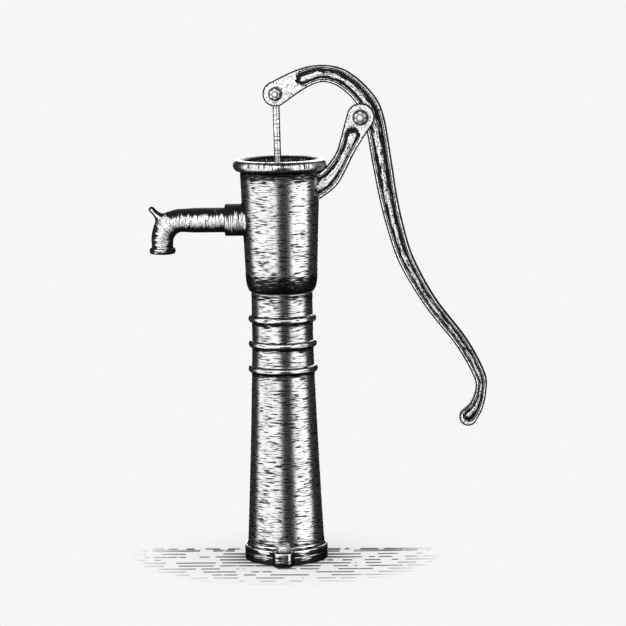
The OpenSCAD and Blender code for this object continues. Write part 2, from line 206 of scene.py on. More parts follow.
class Formula:
    # writes sums as nodes: each call makes one node and returns its output
    def __init__(self, tree):
        self.tree = tree

    def __call__(self, operation, *values):
        node = self.tree.nodes.new("ShaderNodeMath")
        node.operation = operation
        for i, value in enumerate(values):
            if isinstance(value, (int, float)):
                node.inputs[i].default_value = value
            else:
                self.tree.links.new(value, node.inputs[i])
        return node.outputs[0]

    def mask(self, value, low, high):
        # 0 at low and 1 at high
        return addNode(self.tree, "ShaderNodeMapRange", {
            "Value": value, "From Min": low, "From Max": high}).outputs["Result"]

    def combine(self, x, y, z):
        return addNode(self.tree, "ShaderNodeCombineXYZ", {"X": x, "Y": y, "Z": z}).outputs[0]

    def split(self, vector):
        return addNode(self.tree, "ShaderNodeSeparateXYZ", {0: vector}).outputs

    def noise(self, vector, scale, detail, rough=0.5):
        return addNode(self.tree, "ShaderNodeTexNoise", {
            "Vector": vector, "Scale": scale, "Detail": detail, "Roughness": rough}).outputs["Fac"]


def addNode(tree, kind, values=(), **settings):
    node = tree.nodes.new(kind)
    for key, value in settings.items():
        setattr(node, key, value)
    for key, value in dict(values).items():
        if hasattr(value, "is_linked"):
            tree.links.new(value, node.inputs[key])
        else:
            node.inputs[key].default_value = value
    return node


def openTree(name, floats):
    # a geometry tree with a number input for each size, and one for the material
    tree = bpy.data.node_groups.new(name, "GeometryNodeTree")
    face = tree.interface
    face.new_socket("Geometry", in_out="OUTPUT", socket_type="NodeSocketGeometry")
    for label, value in floats.items():
        face.new_socket(label, in_out="INPUT", socket_type="NodeSocketFloat").default_value = value
    face.new_socket("Finish", in_out="INPUT", socket_type="NodeSocketMaterial")
    return tree


def closeTree(tree, geometry, finish):
    # from millimetres to metres, made real, with its material
    scaled = addNode(tree, "GeometryNodeTransform", {"Geometry": geometry, "Scale": (mm, mm, mm)})
    real = addNode(tree, "GeometryNodeRealizeInstances", {"Geometry": scaled.outputs[0]})
    coloured = addNode(tree, "GeometryNodeSetMaterial", {"Geometry": real.outputs[0], "Material": finish})
    addNode(tree, "NodeGroupOutput", {0: coloured.outputs[0]})
    return tree


# finishes

# dark is the tone of the random hatch, specks, dots and clouds, and also of the painted shade in hollows; edge is
# a tone painted along convex ridges: a painted highlight where it is pale, a painted dark outline where it is dark
finishes = {
    # the barrel and the column: smooth, dark and glossy, with a painted highlight along their ridges
    "barrelIron": {
        "colour": (0.37, 0.37, 0.375), "dark": (0.008, 0.008, 0.008), "edge": (0.60, 0.60, 0.605),
        "metal": 0.97, "rough": 0.20, "roughSpread": 0.08, "grain": 0.00016, "grainSize": 900,
        "wave": 0.0002, "waveSize": 34, "hatch": 0.94, "hatchSize": 660,
        "speck": 0.2, "dots": 0.0, "carried": True,
    },
    # the lever, bracket, rim and spout: a paler copy of the iron, painted lighter so that it reads as lit, with
    # painted dark outlines
    "paintedLightIron": {
        "colour": (0.62, 0.62, 0.625), "dark": (0.008, 0.008, 0.008), "edge": (0.02, 0.02, 0.02),
        "metal": 0.88, "rough": 0.50, "roughSpread": 0.10, "grain": 0.00016, "grainSize": 900,
        "wave": 0.0002, "waveSize": 40, "hatch": 0.60, "hatchSize": 640,
        "speck": 0.3, "dots": 0.85, "carried": True,
    },
    # the handle and the bracket: a still paler copy of the iron, painted lighter so that it reads as lit, with
    # painted dark outlines and painted shade in their panels
    "leverIron": {
        "colour": (0.70, 0.70, 0.705), "dark": (0.008, 0.008, 0.008), "edge": (0.006, 0.006, 0.006),
        "metal": 0.90, "rough": 0.48, "roughSpread": 0.08, "grain": 0.00014, "grainSize": 900,
        "wave": 0.0002, "waveSize": 40, "hatch": 0.30, "hatchSize": 700,
        "speck": 0.3, "dots": 0.95, "carried": True,
    },
    "steel": {
        "colour": (0.78, 0.78, 0.79), "dark": (0.03, 0.03, 0.03), "edge": (0.04, 0.04, 0.04),
        "metal": 1.0, "rough": 0.40, "roughSpread": 0.14, "grain": 0.00004, "grainSize": 1500,
        "wave": 0.00008, "waveSize": 160, "hatch": 0.35, "hatchSize": 1300,
        "speck": 0.3, "dots": 0.0, "carried": False,
    },
    "rodSteel": {
        "colour": (0.56, 0.56, 0.57), "dark": (0.03, 0.03, 0.03), "edge": (0.10, 0.10, 0.10),
        "metal": 1.0, "rough": 0.36, "roughSpread": 0.10, "grain": 0.00005, "grainSize": 1400,
        "wave": 0.0001, "waveSize": 120, "hatch": 0.55, "hatchSize": 700,
        "speck": 0.5, "dots": 0.5, "carried": False,
    },
    "brass": {
        "colour": (0.47, 0.34, 0.14), "dark": (0.10, 0.07, 0.03), "edge": (0.74, 0.58, 0.28),
        "metal": 1.0, "rough": 0.34, "roughSpread": 0.14, "grain": 0.00004, "grainSize": 1400,
        "wave": 0.0001, "waveSize": 140, "hatch": 0.35, "hatchSize": 1500,
        "speck": 0.2, "dots": 0.0, "carried": False,
    },
}


def metalFinish(name):
    finish = finishes[name]
    material = bpy.data.materials.new(name)
    material.use_nodes = True
    tree = material.node_tree
    shader = tree.nodes["Principled BSDF"]
    formula = Formula(tree)
    place = addNode(tree, "ShaderNodeTexCoord").outputs["Object"]
    run = place
    if finish["carried"]:
        run = addNode(tree, "ShaderNodeAttribute", attribute_name="strokes").outputs["Vector"]

    def tint(colour, other, share):
        mix = addNode(tree, "ShaderNodeMix", {0: share, 6: colour, 7: (*other, 1)}, data_type="RGBA")
        return mix.outputs[2]

    shape = addNode(tree, "ShaderNodeAttribute", attribute_name="edge").outputs["Fac"]
    if name == "leverIron":
        # the plates carry their distance from the outline, from the panel's border, and the reach of the painted
        # shade
        marks = addNode(tree, "ShaderNodeAttribute", attribute_name="outline").outputs["Vector"]
        marks = formula.split(marks)
        # a dark line painted along the outline, and painted shade that fades in from the panel's border
        line = formula.mask(marks["X"], 2.5, 1.8)
        fade = formula.mask(formula("DIVIDE", marks["Y"], marks["Z"]), 1, 0.05)
        paintedShade = formula("MULTIPLY", formula.mask(marks["Y"], -0.5, 0.1), formula("POWER", fade, 0.6))
        shape = formula("SUBTRACT", line, paintedShade)

    # broad clouds, fine sand grain, and short level strokes that run round the piece
    clouds = formula.noise(place, finish["waveSize"], 5, 0.6)
    grain = formula.noise(place, finish["grainSize"], 3, 0.65)
    stretched = addNode(tree, "ShaderNodeMapping", {"Vector": run, "Scale": (0.11, 0.11, 1)})
    strokes = formula.noise(stretched.outputs["Vector"], finish["hatchSize"], 1.5, 0.45)
    hatch = formula.mask(strokes, 0.52, 0.60)
    specks = formula.mask(grain, 0.60, 0.68)
    cells = addNode(tree, "ShaderNodeTexVoronoi", {"Vector": place, "Scale": 330}).outputs["Distance"]
    dots = formula.mask(cells, 0.36, 0.27)
    # convex ridges take the finish's edge tone: a painted highlight on the barrel iron, a painted dark outline on
    # the others
    paintedRidgeTone = formula.mask(shape, 0.15, 0.6)
    # painted shade fills the hollows in strokes, so that it fades out as a hatch does
    uneven = formula("MULTIPLY", formula("SUBTRACT", strokes, 0.5), 1.7)
    paintedShadeMask = formula.mask(formula("SUBTRACT", uneven, shape), 0.24, 0.56)

    colour = (*finish["colour"], 1)
    for pattern, share in ((hatch, finish["hatch"]), (specks, finish["speck"]), (dots, finish["dots"]),
                           (formula.mask(clouds, 0.35, 0.70), 0.15), (paintedShadeMask, 1)):
        colour = tint(colour, finish["dark"], formula("MULTIPLY", pattern, share))
    colour = tint(colour, finish["edge"], paintedRidgeTone)
    tree.links.new(colour, shader.inputs["Base Color"])

    smoothest = finish["rough"] - finish["roughSpread"] / 2
    roughness = formula("MULTIPLY_ADD", clouds, finish["roughSpread"], smoothest)
    roughness = formula("MULTIPLY_ADD", hatch, 0.08, roughness)
    roughness = formula("MULTIPLY_ADD", paintedShadeMask, 0.20, roughness)
    tree.links.new(roughness, shader.inputs["Roughness"])

    relief = formula("MULTIPLY_ADD", clouds, finish["wave"], formula("MULTIPLY", grain, finish["grain"]))
    relief = formula("MULTIPLY_ADD", hatch, -0.3 * finish["grain"], relief)
    bump = addNode(tree, "ShaderNodeBump", {"Height": relief, "Distance": 1.0, "Strength": 0.7})
    tree.links.new(bump.outputs["Normal"], shader.inputs["Normal"])
    shader.inputs["Metallic"].default_value = finish["metal"]
    return material


leatherFinish = {"light": (0.085, 0.055, 0.036), "dark": (0.022, 0.015, 0.011), "grain": 0.0002}


def makeLeather():
    material = bpy.data.materials.new("pumpLeather")
    material.use_nodes = True
    tree = material.node_tree
    shader = tree.nodes["Principled BSDF"]
    formula = Formula(tree)
    place = addNode(tree, "ShaderNodeTexCoord").outputs["Object"]
    cells = addNode(tree, "ShaderNodeTexVoronoi", {"Vector": place, "Scale": 850}).outputs["Distance"]
    clouds = formula.noise(place, 60, 6)
    colour = addNode(tree, "ShaderNodeMix", {
        0: clouds, 6: (*leatherFinish["dark"], 1), 7: (*leatherFinish["light"], 1)}, data_type="RGBA")
    tree.links.new(colour.outputs[2], shader.inputs["Base Color"])
    tree.links.new(formula("MULTIPLY_ADD", clouds, 0.3, 0.42), shader.inputs["Roughness"])
    height = formula("MULTIPLY", cells, leatherFinish["grain"])
    bump = addNode(tree, "ShaderNodeBump", {"Height": height, "Distance": 1.0, "Strength": 0.8})
    tree.links.new(bump.outputs["Normal"], shader.inputs["Normal"])
    return material


barrelIron = metalFinish("barrelIron")
paintedLightIron = metalFinish("paintedLightIron")
steel = metalFinish("steel")
rodSteel = metalFinish("rodSteel")
leverIron = metalFinish("leverIron")
brass = metalFinish("brass")
leather = makeLeather()
print("finishes made")


def curvature(mesh):
    # how far each vertex stands proud (+) or sunk (-), from -1 to 1
    bm = bmesh.new()
    bm.from_mesh(mesh)
    bm.normal_update()
    reach = 3 * mm
    values = []
    for v in bm.verts:
        total = 0
        for e in v.link_edges:
            gap = e.other_vert(v).co - v.co
            away = gap.length
            if away > 1e-7:
                total -= v.normal.dot(gap) / away / max(away, 0.3 * mm) * mm
        values.append(total / max(1, len(v.link_edges)))
    for _ in range(2):
        soft = []
        for v in bm.verts:
            near = [values[e.other_vert(v).index] for e in v.link_edges if e.calc_length() < reach]
            soft.append((values[v.index] * 2 + sum(near)) / (2 + len(near)))
        values = soft
    bm.free()
    return [max(-1, min(1, v * 4)) for v in values]


def unmarked(spots):
    return [0] * len(spots)


def markPiece(piece, shade, strokes, edges, outline):
    # "edge": painted outlines and painted highlights along ridges (+) and painted shade in hollows (-); "strokes":
    # its third number runs across the strokes
    mesh = piece.data
    spots = [(v.co.x / mm, v.co.y / mm, v.co.z / mm) for v in mesh.vertices]
    if outline:
        flat = numpy.array(outline(spots)).ravel()
        mesh.attributes.new("outline", "FLOAT_VECTOR", "POINT").data.foreach_set("vector", flat)
    else:
        marks = edges(spots) if edges else curvature(mesh)
        if shade:
            paintedShade = [shade(*spot) for spot in spots]
            marks = [m if m > 0.3 and d < 1.05 else min(m, -d) for m, d in zip(marks, paintedShade)]
        mesh.attributes.new("edge", "FLOAT", "POINT").data.foreach_set("value", marks)
    runs = strokes(spots) if strokes else spots
    flat = (numpy.array(runs) * mm).ravel()
    mesh.attributes.new("strokes", "FLOAT_VECTOR", "POINT").data.foreach_set("vector", flat)


def finishPiece(piece, material, body, slot, *nodes, shade=None, strokes=None, edges=None, outline=None):
    piece.data.materials.clear()
    piece.data.materials.append(material)
    markPiece(piece, shade, strokes, edges, outline)
    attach(piece, body)
    if nodes:
        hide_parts(*nodes)
    print(piece.name, len(piece.data.polygons), "faces")
    return piece


# fasteners, from one node tree

fastenerInputs = {
    "Flats": 19.0, "Head": 8.0, "Chamfer": 0.94, "Shank": 6.0, "Length": 20.0,
    "Washer": 0.0, "Washer Hole": 6.0, "Washer Thickness": 1.5, "Corner": 0.0,
}


def fastenerTree():
    # a hexagon with its corners turned off, its shank with a domed end, and a washer, at each point of a line
    tree = openTree("fastener", fastenerInputs)
    face = tree.interface
    face.new_socket("Count", in_out="INPUT", socket_type="NodeSocketInt").default_value = 1
    for name in ("First", "Step", "Facing"):
        face.new_socket(name, in_out="INPUT", socket_type="NodeSocketVector")
    given = tree.nodes.new("NodeGroupInput").outputs
    formula = Formula(tree)
    place = formula.split(tree.nodes.new("GeometryNodeInputPosition").outputs[0])
    angle = formula("ARCTAN2", place["Y"], place["X"])
    squares = formula("MULTIPLY_ADD", place["X"], place["X"], formula("MULTIPLY", place["Y"], place["Y"]))
    ring = formula("SQRT", squares)
    isOuter = formula("GREATER_THAN", ring, 0.9)

    def shaped(geometry, radius, height):
        # moves each point to a new radius and height at its own angle
        spot = formula.combine(formula("MULTIPLY", radius, formula("COSINE", angle)),
                            formula("MULTIPLY", radius, formula("SINE", angle)), height)
        return addNode(tree, "GeometryNodeSetPosition", {"Geometry": geometry, "Position": spot}).outputs[0]

    def pick(choice, inner, outer):
        return addNode(tree, "ShaderNodeMix", {0: choice, 2: inner, 3: outer}).outputs[0]

    # the head: the outer ring takes the hexagon's outline, and the inner one its turned circle
    apothem = formula("DIVIDE", given["Flats"], 2)
    corner = formula("ADD", given["Corner"], 7 * math.pi / 6)
    sector = formula("SUBTRACT", formula("MODULO", formula("ADD", angle, corner), math.pi / 3), math.pi / 6)
    hexRadius = formula("DIVIDE", apothem, formula("COSINE", sector))
    circle = formula("MULTIPLY", apothem, given["Chamfer"])
    radius = pick(isOuter, formula("MULTIPLY", ring, formula("MULTIPLY", circle, 1.5)), hexRadius)
    past = formula("MAXIMUM", formula("SUBTRACT", radius, circle), 0)
    top = formula("SUBTRACT", given["Head"], formula("MULTIPLY", past, math.tan(math.radians(28))))
    height = formula("MULTIPLY", formula("GREATER_THAN", place["Z"], 0), top)
    blank = addNode(tree, "GeometryNodeMeshCylinder", {
        "Vertices": 72, "Side Segments": 1, "Fill Segments": 3, "Radius": 1.0, "Depth": 2.0})
    head = shaped(blank.outputs["Mesh"], radius, height)

    # the shank: a bar with a small chamfer at its far end, below the head
    bar = addNode(tree, "GeometryNodeMeshCylinder", {
        "Vertices": 48, "Side Segments": 1, "Fill Segments": 3, "Radius": 1.0, "Depth": 2.0})
    isFar = formula("LESS_THAN", place["Z"], 0)
    barEdge = formula("MULTIPLY", isOuter, isFar)
    barInner = formula("MULTIPLY", ring, formula("MULTIPLY", given["Shank"], 1.28))
    barRadius = pick(isOuter, barInner, given["Shank"])
    barEnd = formula("MULTIPLY", isFar, formula("SUBTRACT", barEdge, given["Length"]))
    shank = shaped(bar.outputs["Mesh"], barRadius, formula("ADD", barEnd, 0.2))

    # the washer: a square section swept round a circle
    middle = formula("DIVIDE", formula("ADD", given["Washer"], given["Washer Hole"]), 2)
    wide = formula("SUBTRACT", given["Washer"], given["Washer Hole"])
    loop = addNode(tree, "GeometryNodeCurvePrimitiveCircle", {"Resolution": 64, "Radius": middle})
    section = addNode(tree, "GeometryNodeCurvePrimitiveQuadrilateral", {
        "Width": wide, "Height": given["Washer Thickness"]})
    softSection = addNode(tree, "GeometryNodeFilletCurve", {
        "Curve": section.outputs[0], "Radius": 0.35, "Count": 3}, mode="POLY")
    ringMesh = addNode(tree, "GeometryNodeCurveToMesh", {
        "Curve": loop.outputs[0], "Profile Curve": softSection.outputs[0]})
    drop = formula.combine(0, 0, formula("DIVIDE", given["Washer Thickness"], -2))
    washer = addNode(tree, "GeometryNodeTransform", {"Geometry": ringMesh.outputs[0], "Translation": drop})
    whole = tree.nodes.new("GeometryNodeJoinGeometry")
    for size, part in (("Washer", washer.outputs[0]), ("Head", head), ("Length", shank)):
        kept = addNode(tree, "GeometryNodeSwitch", {
            0: formula("GREATER_THAN", given[size], 0), 2: part}, input_type="GEOMETRY")
        tree.links.new(kept.outputs[0], whole.inputs[0])

    line = addNode(tree, "GeometryNodeMeshLine", {
        "Count": given["Count"], "Start Location": given["First"], "Offset": given["Step"]}, mode="OFFSET")
    turn = addNode(tree, "FunctionNodeAlignRotationToVector", {"Vector": given["Facing"]}, axis="Z")
    copies = addNode(tree, "GeometryNodeInstanceOnPoints", {
        "Points": line.outputs[0], "Instance": whole.outputs[0], "Rotation": turn.outputs[0]})
    return closeTree(tree, copies.outputs[0], given["Finish"])


def growFrom(name, tree, values, bevel=0.0):
    # runs a node tree on an empty mesh and keeps what it makes as a plain mesh
    piece = bpy.data.objects.new(name, bpy.data.meshes.new(name))
    bpy.context.scene.collection.objects.link(piece)
    modifier = piece.modifiers.new("grow", "NODES")
    modifier.node_group = tree
    sockets = {s.name: s.identifier for s in tree.interface.items_tree if s.in_out == "INPUT"}
    for key, value in values.items():
        modifier[sockets[key]] = value
    if bevel:
        soft = piece.modifiers.new("soften", "BEVEL")
        soft.width = bevel * mm
        soft.segments = 2
        soft.limit_method = "ANGLE"
        soft.angle_limit = math.radians(40)
        soft.harden_normals = False
    applyAll(piece)
    bm = bmesh.new()
    bm.from_mesh(piece.data)
    bmesh.ops.remove_doubles(bm, verts=bm.verts, dist=0.01 * mm)
    bmesh.ops.recalc_face_normals(bm, faces=bm.faces)
    bm.to_mesh(piece.data)
    bm.free()
    smoothShade(piece, 30)
    return piece


fastener = fastenerTree()
cheekOut = 14.5
forkHalf = 12
washerT = 1.5
noHead = {"Head": 0.0, "Length": 0.0}
fastenerSets = {
    "footBolts": {
        "nodes": ["foot_bolts"], "body": "root", "bevel": 0.35,
        "Flats": 19.0, "Head": 8.0, "Corner": math.pi / 6, "Shank": 6.0, "Length": 20.0, "Count": 2,
        "First": (0, -69, footTop + washerT), "Step": (0, 138, 0), "Facing": (0, 0, 1)},
    "footWashers": {
        "nodes": ["foot_washers"], "body": "root", **noHead, "Washer": 11.0, "Washer Hole": 6.2,
        "Count": 2, "First": (0, -69, footTop + washerT), "Step": (0, 138, 0), "Facing": (0, 0, 1)},
    "bracketBolts": {
        "nodes": ["bracket_bolts"], "body": "root", "bevel": 0.25,
        "Flats": 13.0, "Head": 5.5, "Shank": 4.0, "Length": 24.0, "Count": 2,
        "First": (49.9, 0, 561), "Step": (0, 0, 18), "Facing": (-1, 0, 0)},
    "fulcrumBolt": {
        "nodes": ["fulcrum_bolt"], "body": "root", "bevel": 0.35,
        "Flats": 19.0, "Head": 7.5, "Shank": 6.0, "Length": 2 * (cheekOut + washerT) + 12, "Count": 1,
        "First": (fulcrum[0], cheekOut + washerT, fulcrum[2]), "Step": (0, 0, 0), "Facing": (0, 1, 0)},
    "fulcrumNut": {
        "nodes": ["fulcrum_nut"], "body": "root", "bevel": 0.35,
        "Flats": 19.0, "Head": 8.0, "Length": 0.0, "Count": 1,
        "First": (fulcrum[0], -cheekOut - washerT, fulcrum[2]), "Step": (0, 0, 0), "Facing": (0, -1, 0)},
    "rodPin": {
        "nodes": ["rod_pin"], "body": "handle", "bevel": 0.3,
        "Flats": 17.0, "Head": 6.5, "Shank": 5.0, "Length": 2 * (forkHalf + washerT) + 10, "Count": 1,
        "First": (rodEnd[0], forkHalf + washerT, rodEnd[2]), "Step": (0, 0, 0), "Facing": (0, 1, 0)},
    "rodPinNut": {
        "nodes": ["rod_pin_nut"], "body": "handle", "bevel": 0.3,
        "Flats": 17.0, "Head": 7.0, "Length": 0.0, "Count": 1,
        "First": (rodEnd[0], -forkHalf - washerT, rodEnd[2]), "Step": (0, 0, 0), "Facing": (0, -1, 0)},
}
for name, node, body, half, r, hole, centre in (
        ("fulcrumWashers", "fulcrum_washers", "root", cheekOut, 12.0, 6.1, fulcrum),
        ("rodPinWashers", "rod_pin_washers", "handle", forkHalf, 10.5, 5.1, rodEnd)):
    fastenerSets[name] = {
        "nodes": [node], "body": body, **noHead,
        "Washer": r, "Washer Hole": hole, "Count": 2,
        "First": (centre[0], -half, centre[2]), "Step": (0, 2 * half + washerT, 0), "Facing": (0, 1, 0)}

for name, values in fastenerSets.items():
    sizes = {k: v for k, v in values.items() if k not in ("nodes", "body", "bevel")}
    piece = growFrom(name, fastener, {**sizes, "Finish": steel}, values.get("bevel", 0.0))
    finishPiece(piece, steel, values["body"], "fasteners", *values["nodes"],
                edges=unmarked if name == "footBolts" else None)

# bowl

bowl = {
    "neckR": 46, "lowR": 54, "lowZ": 434, "topR": 60, "rimZ": 596, "rimR": 61, "rollR": 9,
    "wall": 7, "floorZ": 425, "holeR": 43.6,
}
boss = {
    "r": 24, "end": 83, "z": 514, "fillet": 2.5, "edge": 1.8, "socketR": 18.6, "mouth": 0.8,
    "root": 46, "boreR": 13.5,
}


def bowlRadius(z):
    return bowl["lowR"] + (bowl["topR"] - bowl["lowR"]) * (z - bowl["lowZ"]) / (bowl["rimZ"] - bowl["lowZ"])


def bowlProfile():
    # up the outside, over the roll, down the inside and across the floor
    points = []
    for k in range(13):
        a = math.pi / 2 * k / 12
        points.append((bowl["neckR"] + (bowl["lowR"] - bowl["neckR"]) * math.sin(a),
                       bowl["lowZ"] - (bowl["lowZ"] - bowlBottom) * math.cos(a)))
    # a small flare under the roll, then the top edge, which the roll hides
    for below, out in ((11.8, 0), (10.4, 0.3), (9.4, 1.0), (8.6, 2.6), (4, 1)):
        z = bowl["rimZ"] - below
        points.append((bowlRadius(z) + out, z))
    top, inner = bowl["topR"] - bowl["wall"], bowl["lowR"] - bowl["wall"]
    points.append((top, bowl["rimZ"] - 2))
    points += rounded([
        (top, bowl["rimZ"] - 6, 4), (inner, bowl["floorZ"] + 10, 8), (inner - 5, bowl["floorZ"], 3),
        (bowl["holeR"], bowl["floorZ"], 0.6), (bowl["holeR"], bowlBottom, 0.3)])
    return refined(points, True, 6)


def bossPiece():
    # a round boss whose root flows into the flared wall of the bowl
    turns, steps = 96, 10
    r, end, fillet, edge = boss["r"], boss["end"], boss["fillet"], boss["edge"]

    def wallX(radius, a):
        z = boss["z"] + radius * math.sin(a)
        return math.sqrt(bowlRadius(z) ** 2 - (radius * math.cos(a)) ** 2)

    def rowsAt(a):
        # (radius, reach) along the boss at one angle: bore, round end, side, root
        rows = [(boss["socketR"], boss["root"]), (boss["socketR"], end - boss["mouth"]),
                (boss["socketR"] + boss["mouth"], end)]
        for k in range(7):
            b = math.pi / 2 * k / 6
            rows.append((r - edge + edge * math.sin(b), end - edge + edge * math.cos(b)))
        start = wallX(r, a) + fillet
        rows += [(r, end - edge + (start - end + edge) * k / 4) for k in range(5)]
        for k in range(1, steps + 1):
            t = k / steps
            reach = start * (1 - t) ** 2 + wallX(r, a) * 2 * t * (1 - t) + wallX(r + fillet, a) * t * t
            rows.append((r + fillet * t * t, reach))
        return rows + [(r + fillet, boss["root"])]

    columns = []
    for j in range(turns):
        a = 2 * math.pi * j / turns
        cy, cz = math.cos(a), math.sin(a)
        columns.append([(-x, radius * cy, boss["z"] + radius * cz) for radius, x in rowsAt(a)])
    verts = [spot for row in zip(*columns) for spot in row]
    return makePiece("boss", verts, gridFaces(len(columns[0]), turns, True, True), 40)


bowlPiece = lathe("bowl", bowlProfile(), turns=192)
bossBore = lathe("bore", [(0, 30), (boss["boreR"], 30), (boss["boreR"], 90), (0, 90)], turns=64)
towardsSpout = Matrix.Rotation(math.radians(-90), 4, "Y")
bossBore.data.transform(Matrix.Translation((0, 0, boss["z"] * mm)) @ towardsSpout)
cut(bowlPiece, bossBore)
smoothShade(bowlPiece, 34)


def bowlShade(x, y, z):
    # painted shade under the rim, in the low round, about the spout's boss and inside
    if math.hypot(x, y) < bowlRadius(z) - 3 and z > bowl["floorZ"]:
        return 0.8
    nearBoss = smoothstep(boss["r"] + 22, boss["r"] + 3, math.hypot(y, z - boss["z"])) if x < 0 else 0
    nearRim = smoothstep(34, 11, bowl["rimZ"] - z)
    low = smoothstep(16, -12, z - bowl["lowZ"])
    return 0.75 * max(nearRim, low, 1.3 * nearBoss)


finishPiece(bowlPiece, barrelIron, "root", "castings", "bowl", shade=bowlShade)

rimSection = [(bowl["rimR"] + bowl["rollR"] * math.cos(math.pi * k / 24),
               bowl["rimZ"] + bowl["rollR"] * math.sin(math.pi * k / 24)) for k in range(48)]
rimPiece = lathe("bowlRim", rimSection, turns=192)


def rimStrokes(spots):
    # strokes across the roll, from its top to its underside
    return [(math.hypot(x, y), z, bowl["rimR"] * math.atan2(x, -y)) for x, y, z in spots]


def rimShade(x, y, z):
    # painted shade on the roll's underside and on its inner half
    drop = (bowl["rimZ"] - z) / bowl["rollR"]
    inward = (bowl["rimR"] - math.hypot(x, y)) / bowl["rollR"]
    return 0.8 * max(smoothstep(0.2, 0.95, drop), smoothstep(-0.5, 0.35, inward))


finishPiece(rimPiece, barrelIron, "root", "castings", "bowl_rim", shade=rimShade, strokes=rimStrokes)

# column and base

column = {
    "neckR": 46, "footR": 58, "waistZ": 345, "power": 1.3, "topBead": 366, "beadStep": 38,
    "beadH": 5.2, "beadHalf": 5.6, "flangeR": 62.5, "lugR": 13, "lugAt": 69, "lugSoft": 15,
    "wall": 7.5, "boreR": 40.6,
}


def columnRadius(z):
    grow = max(0, column["waistZ"] - z) / (column["waistZ"] - footTop)
    return column["neckR"] + (column["footR"] - column["neckR"]) * grow ** column["power"]


def shellTree(name, sizes, rows, turns, surface):
    # a closed shell from a grid: surface gives each point's place from its row and its turn
    tree = openTree(name, sizes)
    given = tree.nodes.new("NodeGroupInput").outputs
    formula = Formula(tree)
    grid = addNode(tree, "GeometryNodeMeshGrid", {
        "Size X": 1.0, "Size Y": 1.0, "Vertices X": rows, "Vertices Y": turns + 1})
    spot = formula.split(tree.nodes.new("GeometryNodeInputPosition").outputs[0])
    row = formula("ROUND", formula("MULTIPLY", formula("ADD", spot["X"], 0.5), rows - 1))
    angle = formula("MULTIPLY", formula("ADD", spot["Y"], 0.5), 2 * math.pi)
    place = formula.combine(*surface(formula, given, row, angle))
    shaped = addNode(tree, "GeometryNodeSetPosition", {"Geometry": grid.outputs["Mesh"], "Position": place})
    merged = addNode(tree, "GeometryNodeMergeByDistance", {"Geometry": shaped.outputs[0], "Distance": 0.02})
    return closeTree(tree, merged.outputs[0], given["Finish"])


columnRows = 460
columnSizes = {
    "Neck Radius": column["neckR"], "Foot Radius": column["footR"], "Top": neckZ, "Foot Top": footTop,
    "Waist": column["waistZ"], "Power": column["power"], "First Bead": column["topBead"],
    "Bead Step": column["beadStep"], "Bead Height": column["beadH"], "Bead Half": column["beadHalf"],
    "Bore": column["boreR"],
}


def columnSurface(formula, given, row, angle):
    # rows 0 and the last two lie on the bore, and the others walk down the outside
    down = formula("DIVIDE", formula("SUBTRACT", row, 1), columnRows - 4)
    down = formula("MINIMUM", formula("MAXIMUM", down, 0), 1)
    tall = formula("SUBTRACT", given["Top"], given["Foot Top"])
    height = formula("SUBTRACT", given["Top"], formula("MULTIPLY", down, tall))
    grow = formula("DIVIDE", formula("MAXIMUM", formula("SUBTRACT", given["Waist"], height), 0),
                   formula("SUBTRACT", given["Waist"], given["Foot Top"]))
    spread = formula("SUBTRACT", given["Foot Radius"], given["Neck Radius"])
    radius = formula("MULTIPLY_ADD", spread, formula("POWER", grow, given["Power"]), given["Neck Radius"])
    for k in range(3):
        middle = formula("MULTIPLY_ADD", given["Bead Step"], -k, given["First Bead"])
        away = formula("DIVIDE", formula("ABSOLUTE", formula("SUBTRACT", height, middle)), given["Bead Half"])
        roll = formula("SQRT", formula("MAXIMUM", formula("SUBTRACT", 1, formula("MULTIPLY", away, away)), 0))
        skirt = formula("MAXIMUM", formula("MULTIPLY_ADD", away, -1.1, 1.6), 0)
        skirt = formula("MINIMUM", formula("MULTIPLY", formula("MULTIPLY", skirt, skirt), 0.28), 0.4)
        bead = formula("MAXIMUM", roll, skirt)
        radius = formula("MULTIPLY_ADD", bead, given["Bead Height"], radius)
    isEnd = formula("GREATER_THAN", row, columnRows - 2.5)
    inside = formula("MAXIMUM", formula("LESS_THAN", row, 0.5), isEnd)
    radius = formula("ADD", formula("MULTIPLY", radius, formula("SUBTRACT", 1, inside)),
                     formula("MULTIPLY", given["Bore"], inside))
    closing = formula("GREATER_THAN", row, columnRows - 1.5)
    height = formula("ADD", height, formula("MULTIPLY", closing, tall))
    return (formula("MULTIPLY", radius, formula("COSINE", angle)),
            formula("MULTIPLY", radius, formula("SINE", angle)), height)


def flangeRadius(angle):
    # the round flange, with a lug at the front and one at the back that flow into it
    disc, lugR, at = column["flangeR"], column["lugR"], column["lugAt"]
    best = disc
    for turn in (-90, 90):
        off = abs((angle - math.radians(turn) + math.pi) % (2 * math.pi) - math.pi)
        if off < math.radians(60):
            across = at * math.sin(off)
            if across < lugR:
                reach = at * math.cos(off) + math.sqrt(lugR ** 2 - across ** 2)
            else:
                reach = lugR / math.sin(off)
            fade = column["lugSoft"] * smoothstep(math.radians(55), math.radians(25), off)
            best = min(blendMax(disc, reach, fade), at + lugR)
    return best


def flangeShape(inner):
    # stretches the outer part of a round flange to the lugged outline
    def radiusAt(r, a):
        share = smoothstep(inner, column["flangeR"], r) if r < column["flangeR"] else 1
        return r + (flangeRadius(a) - column["flangeR"]) * share
    return radiusAt


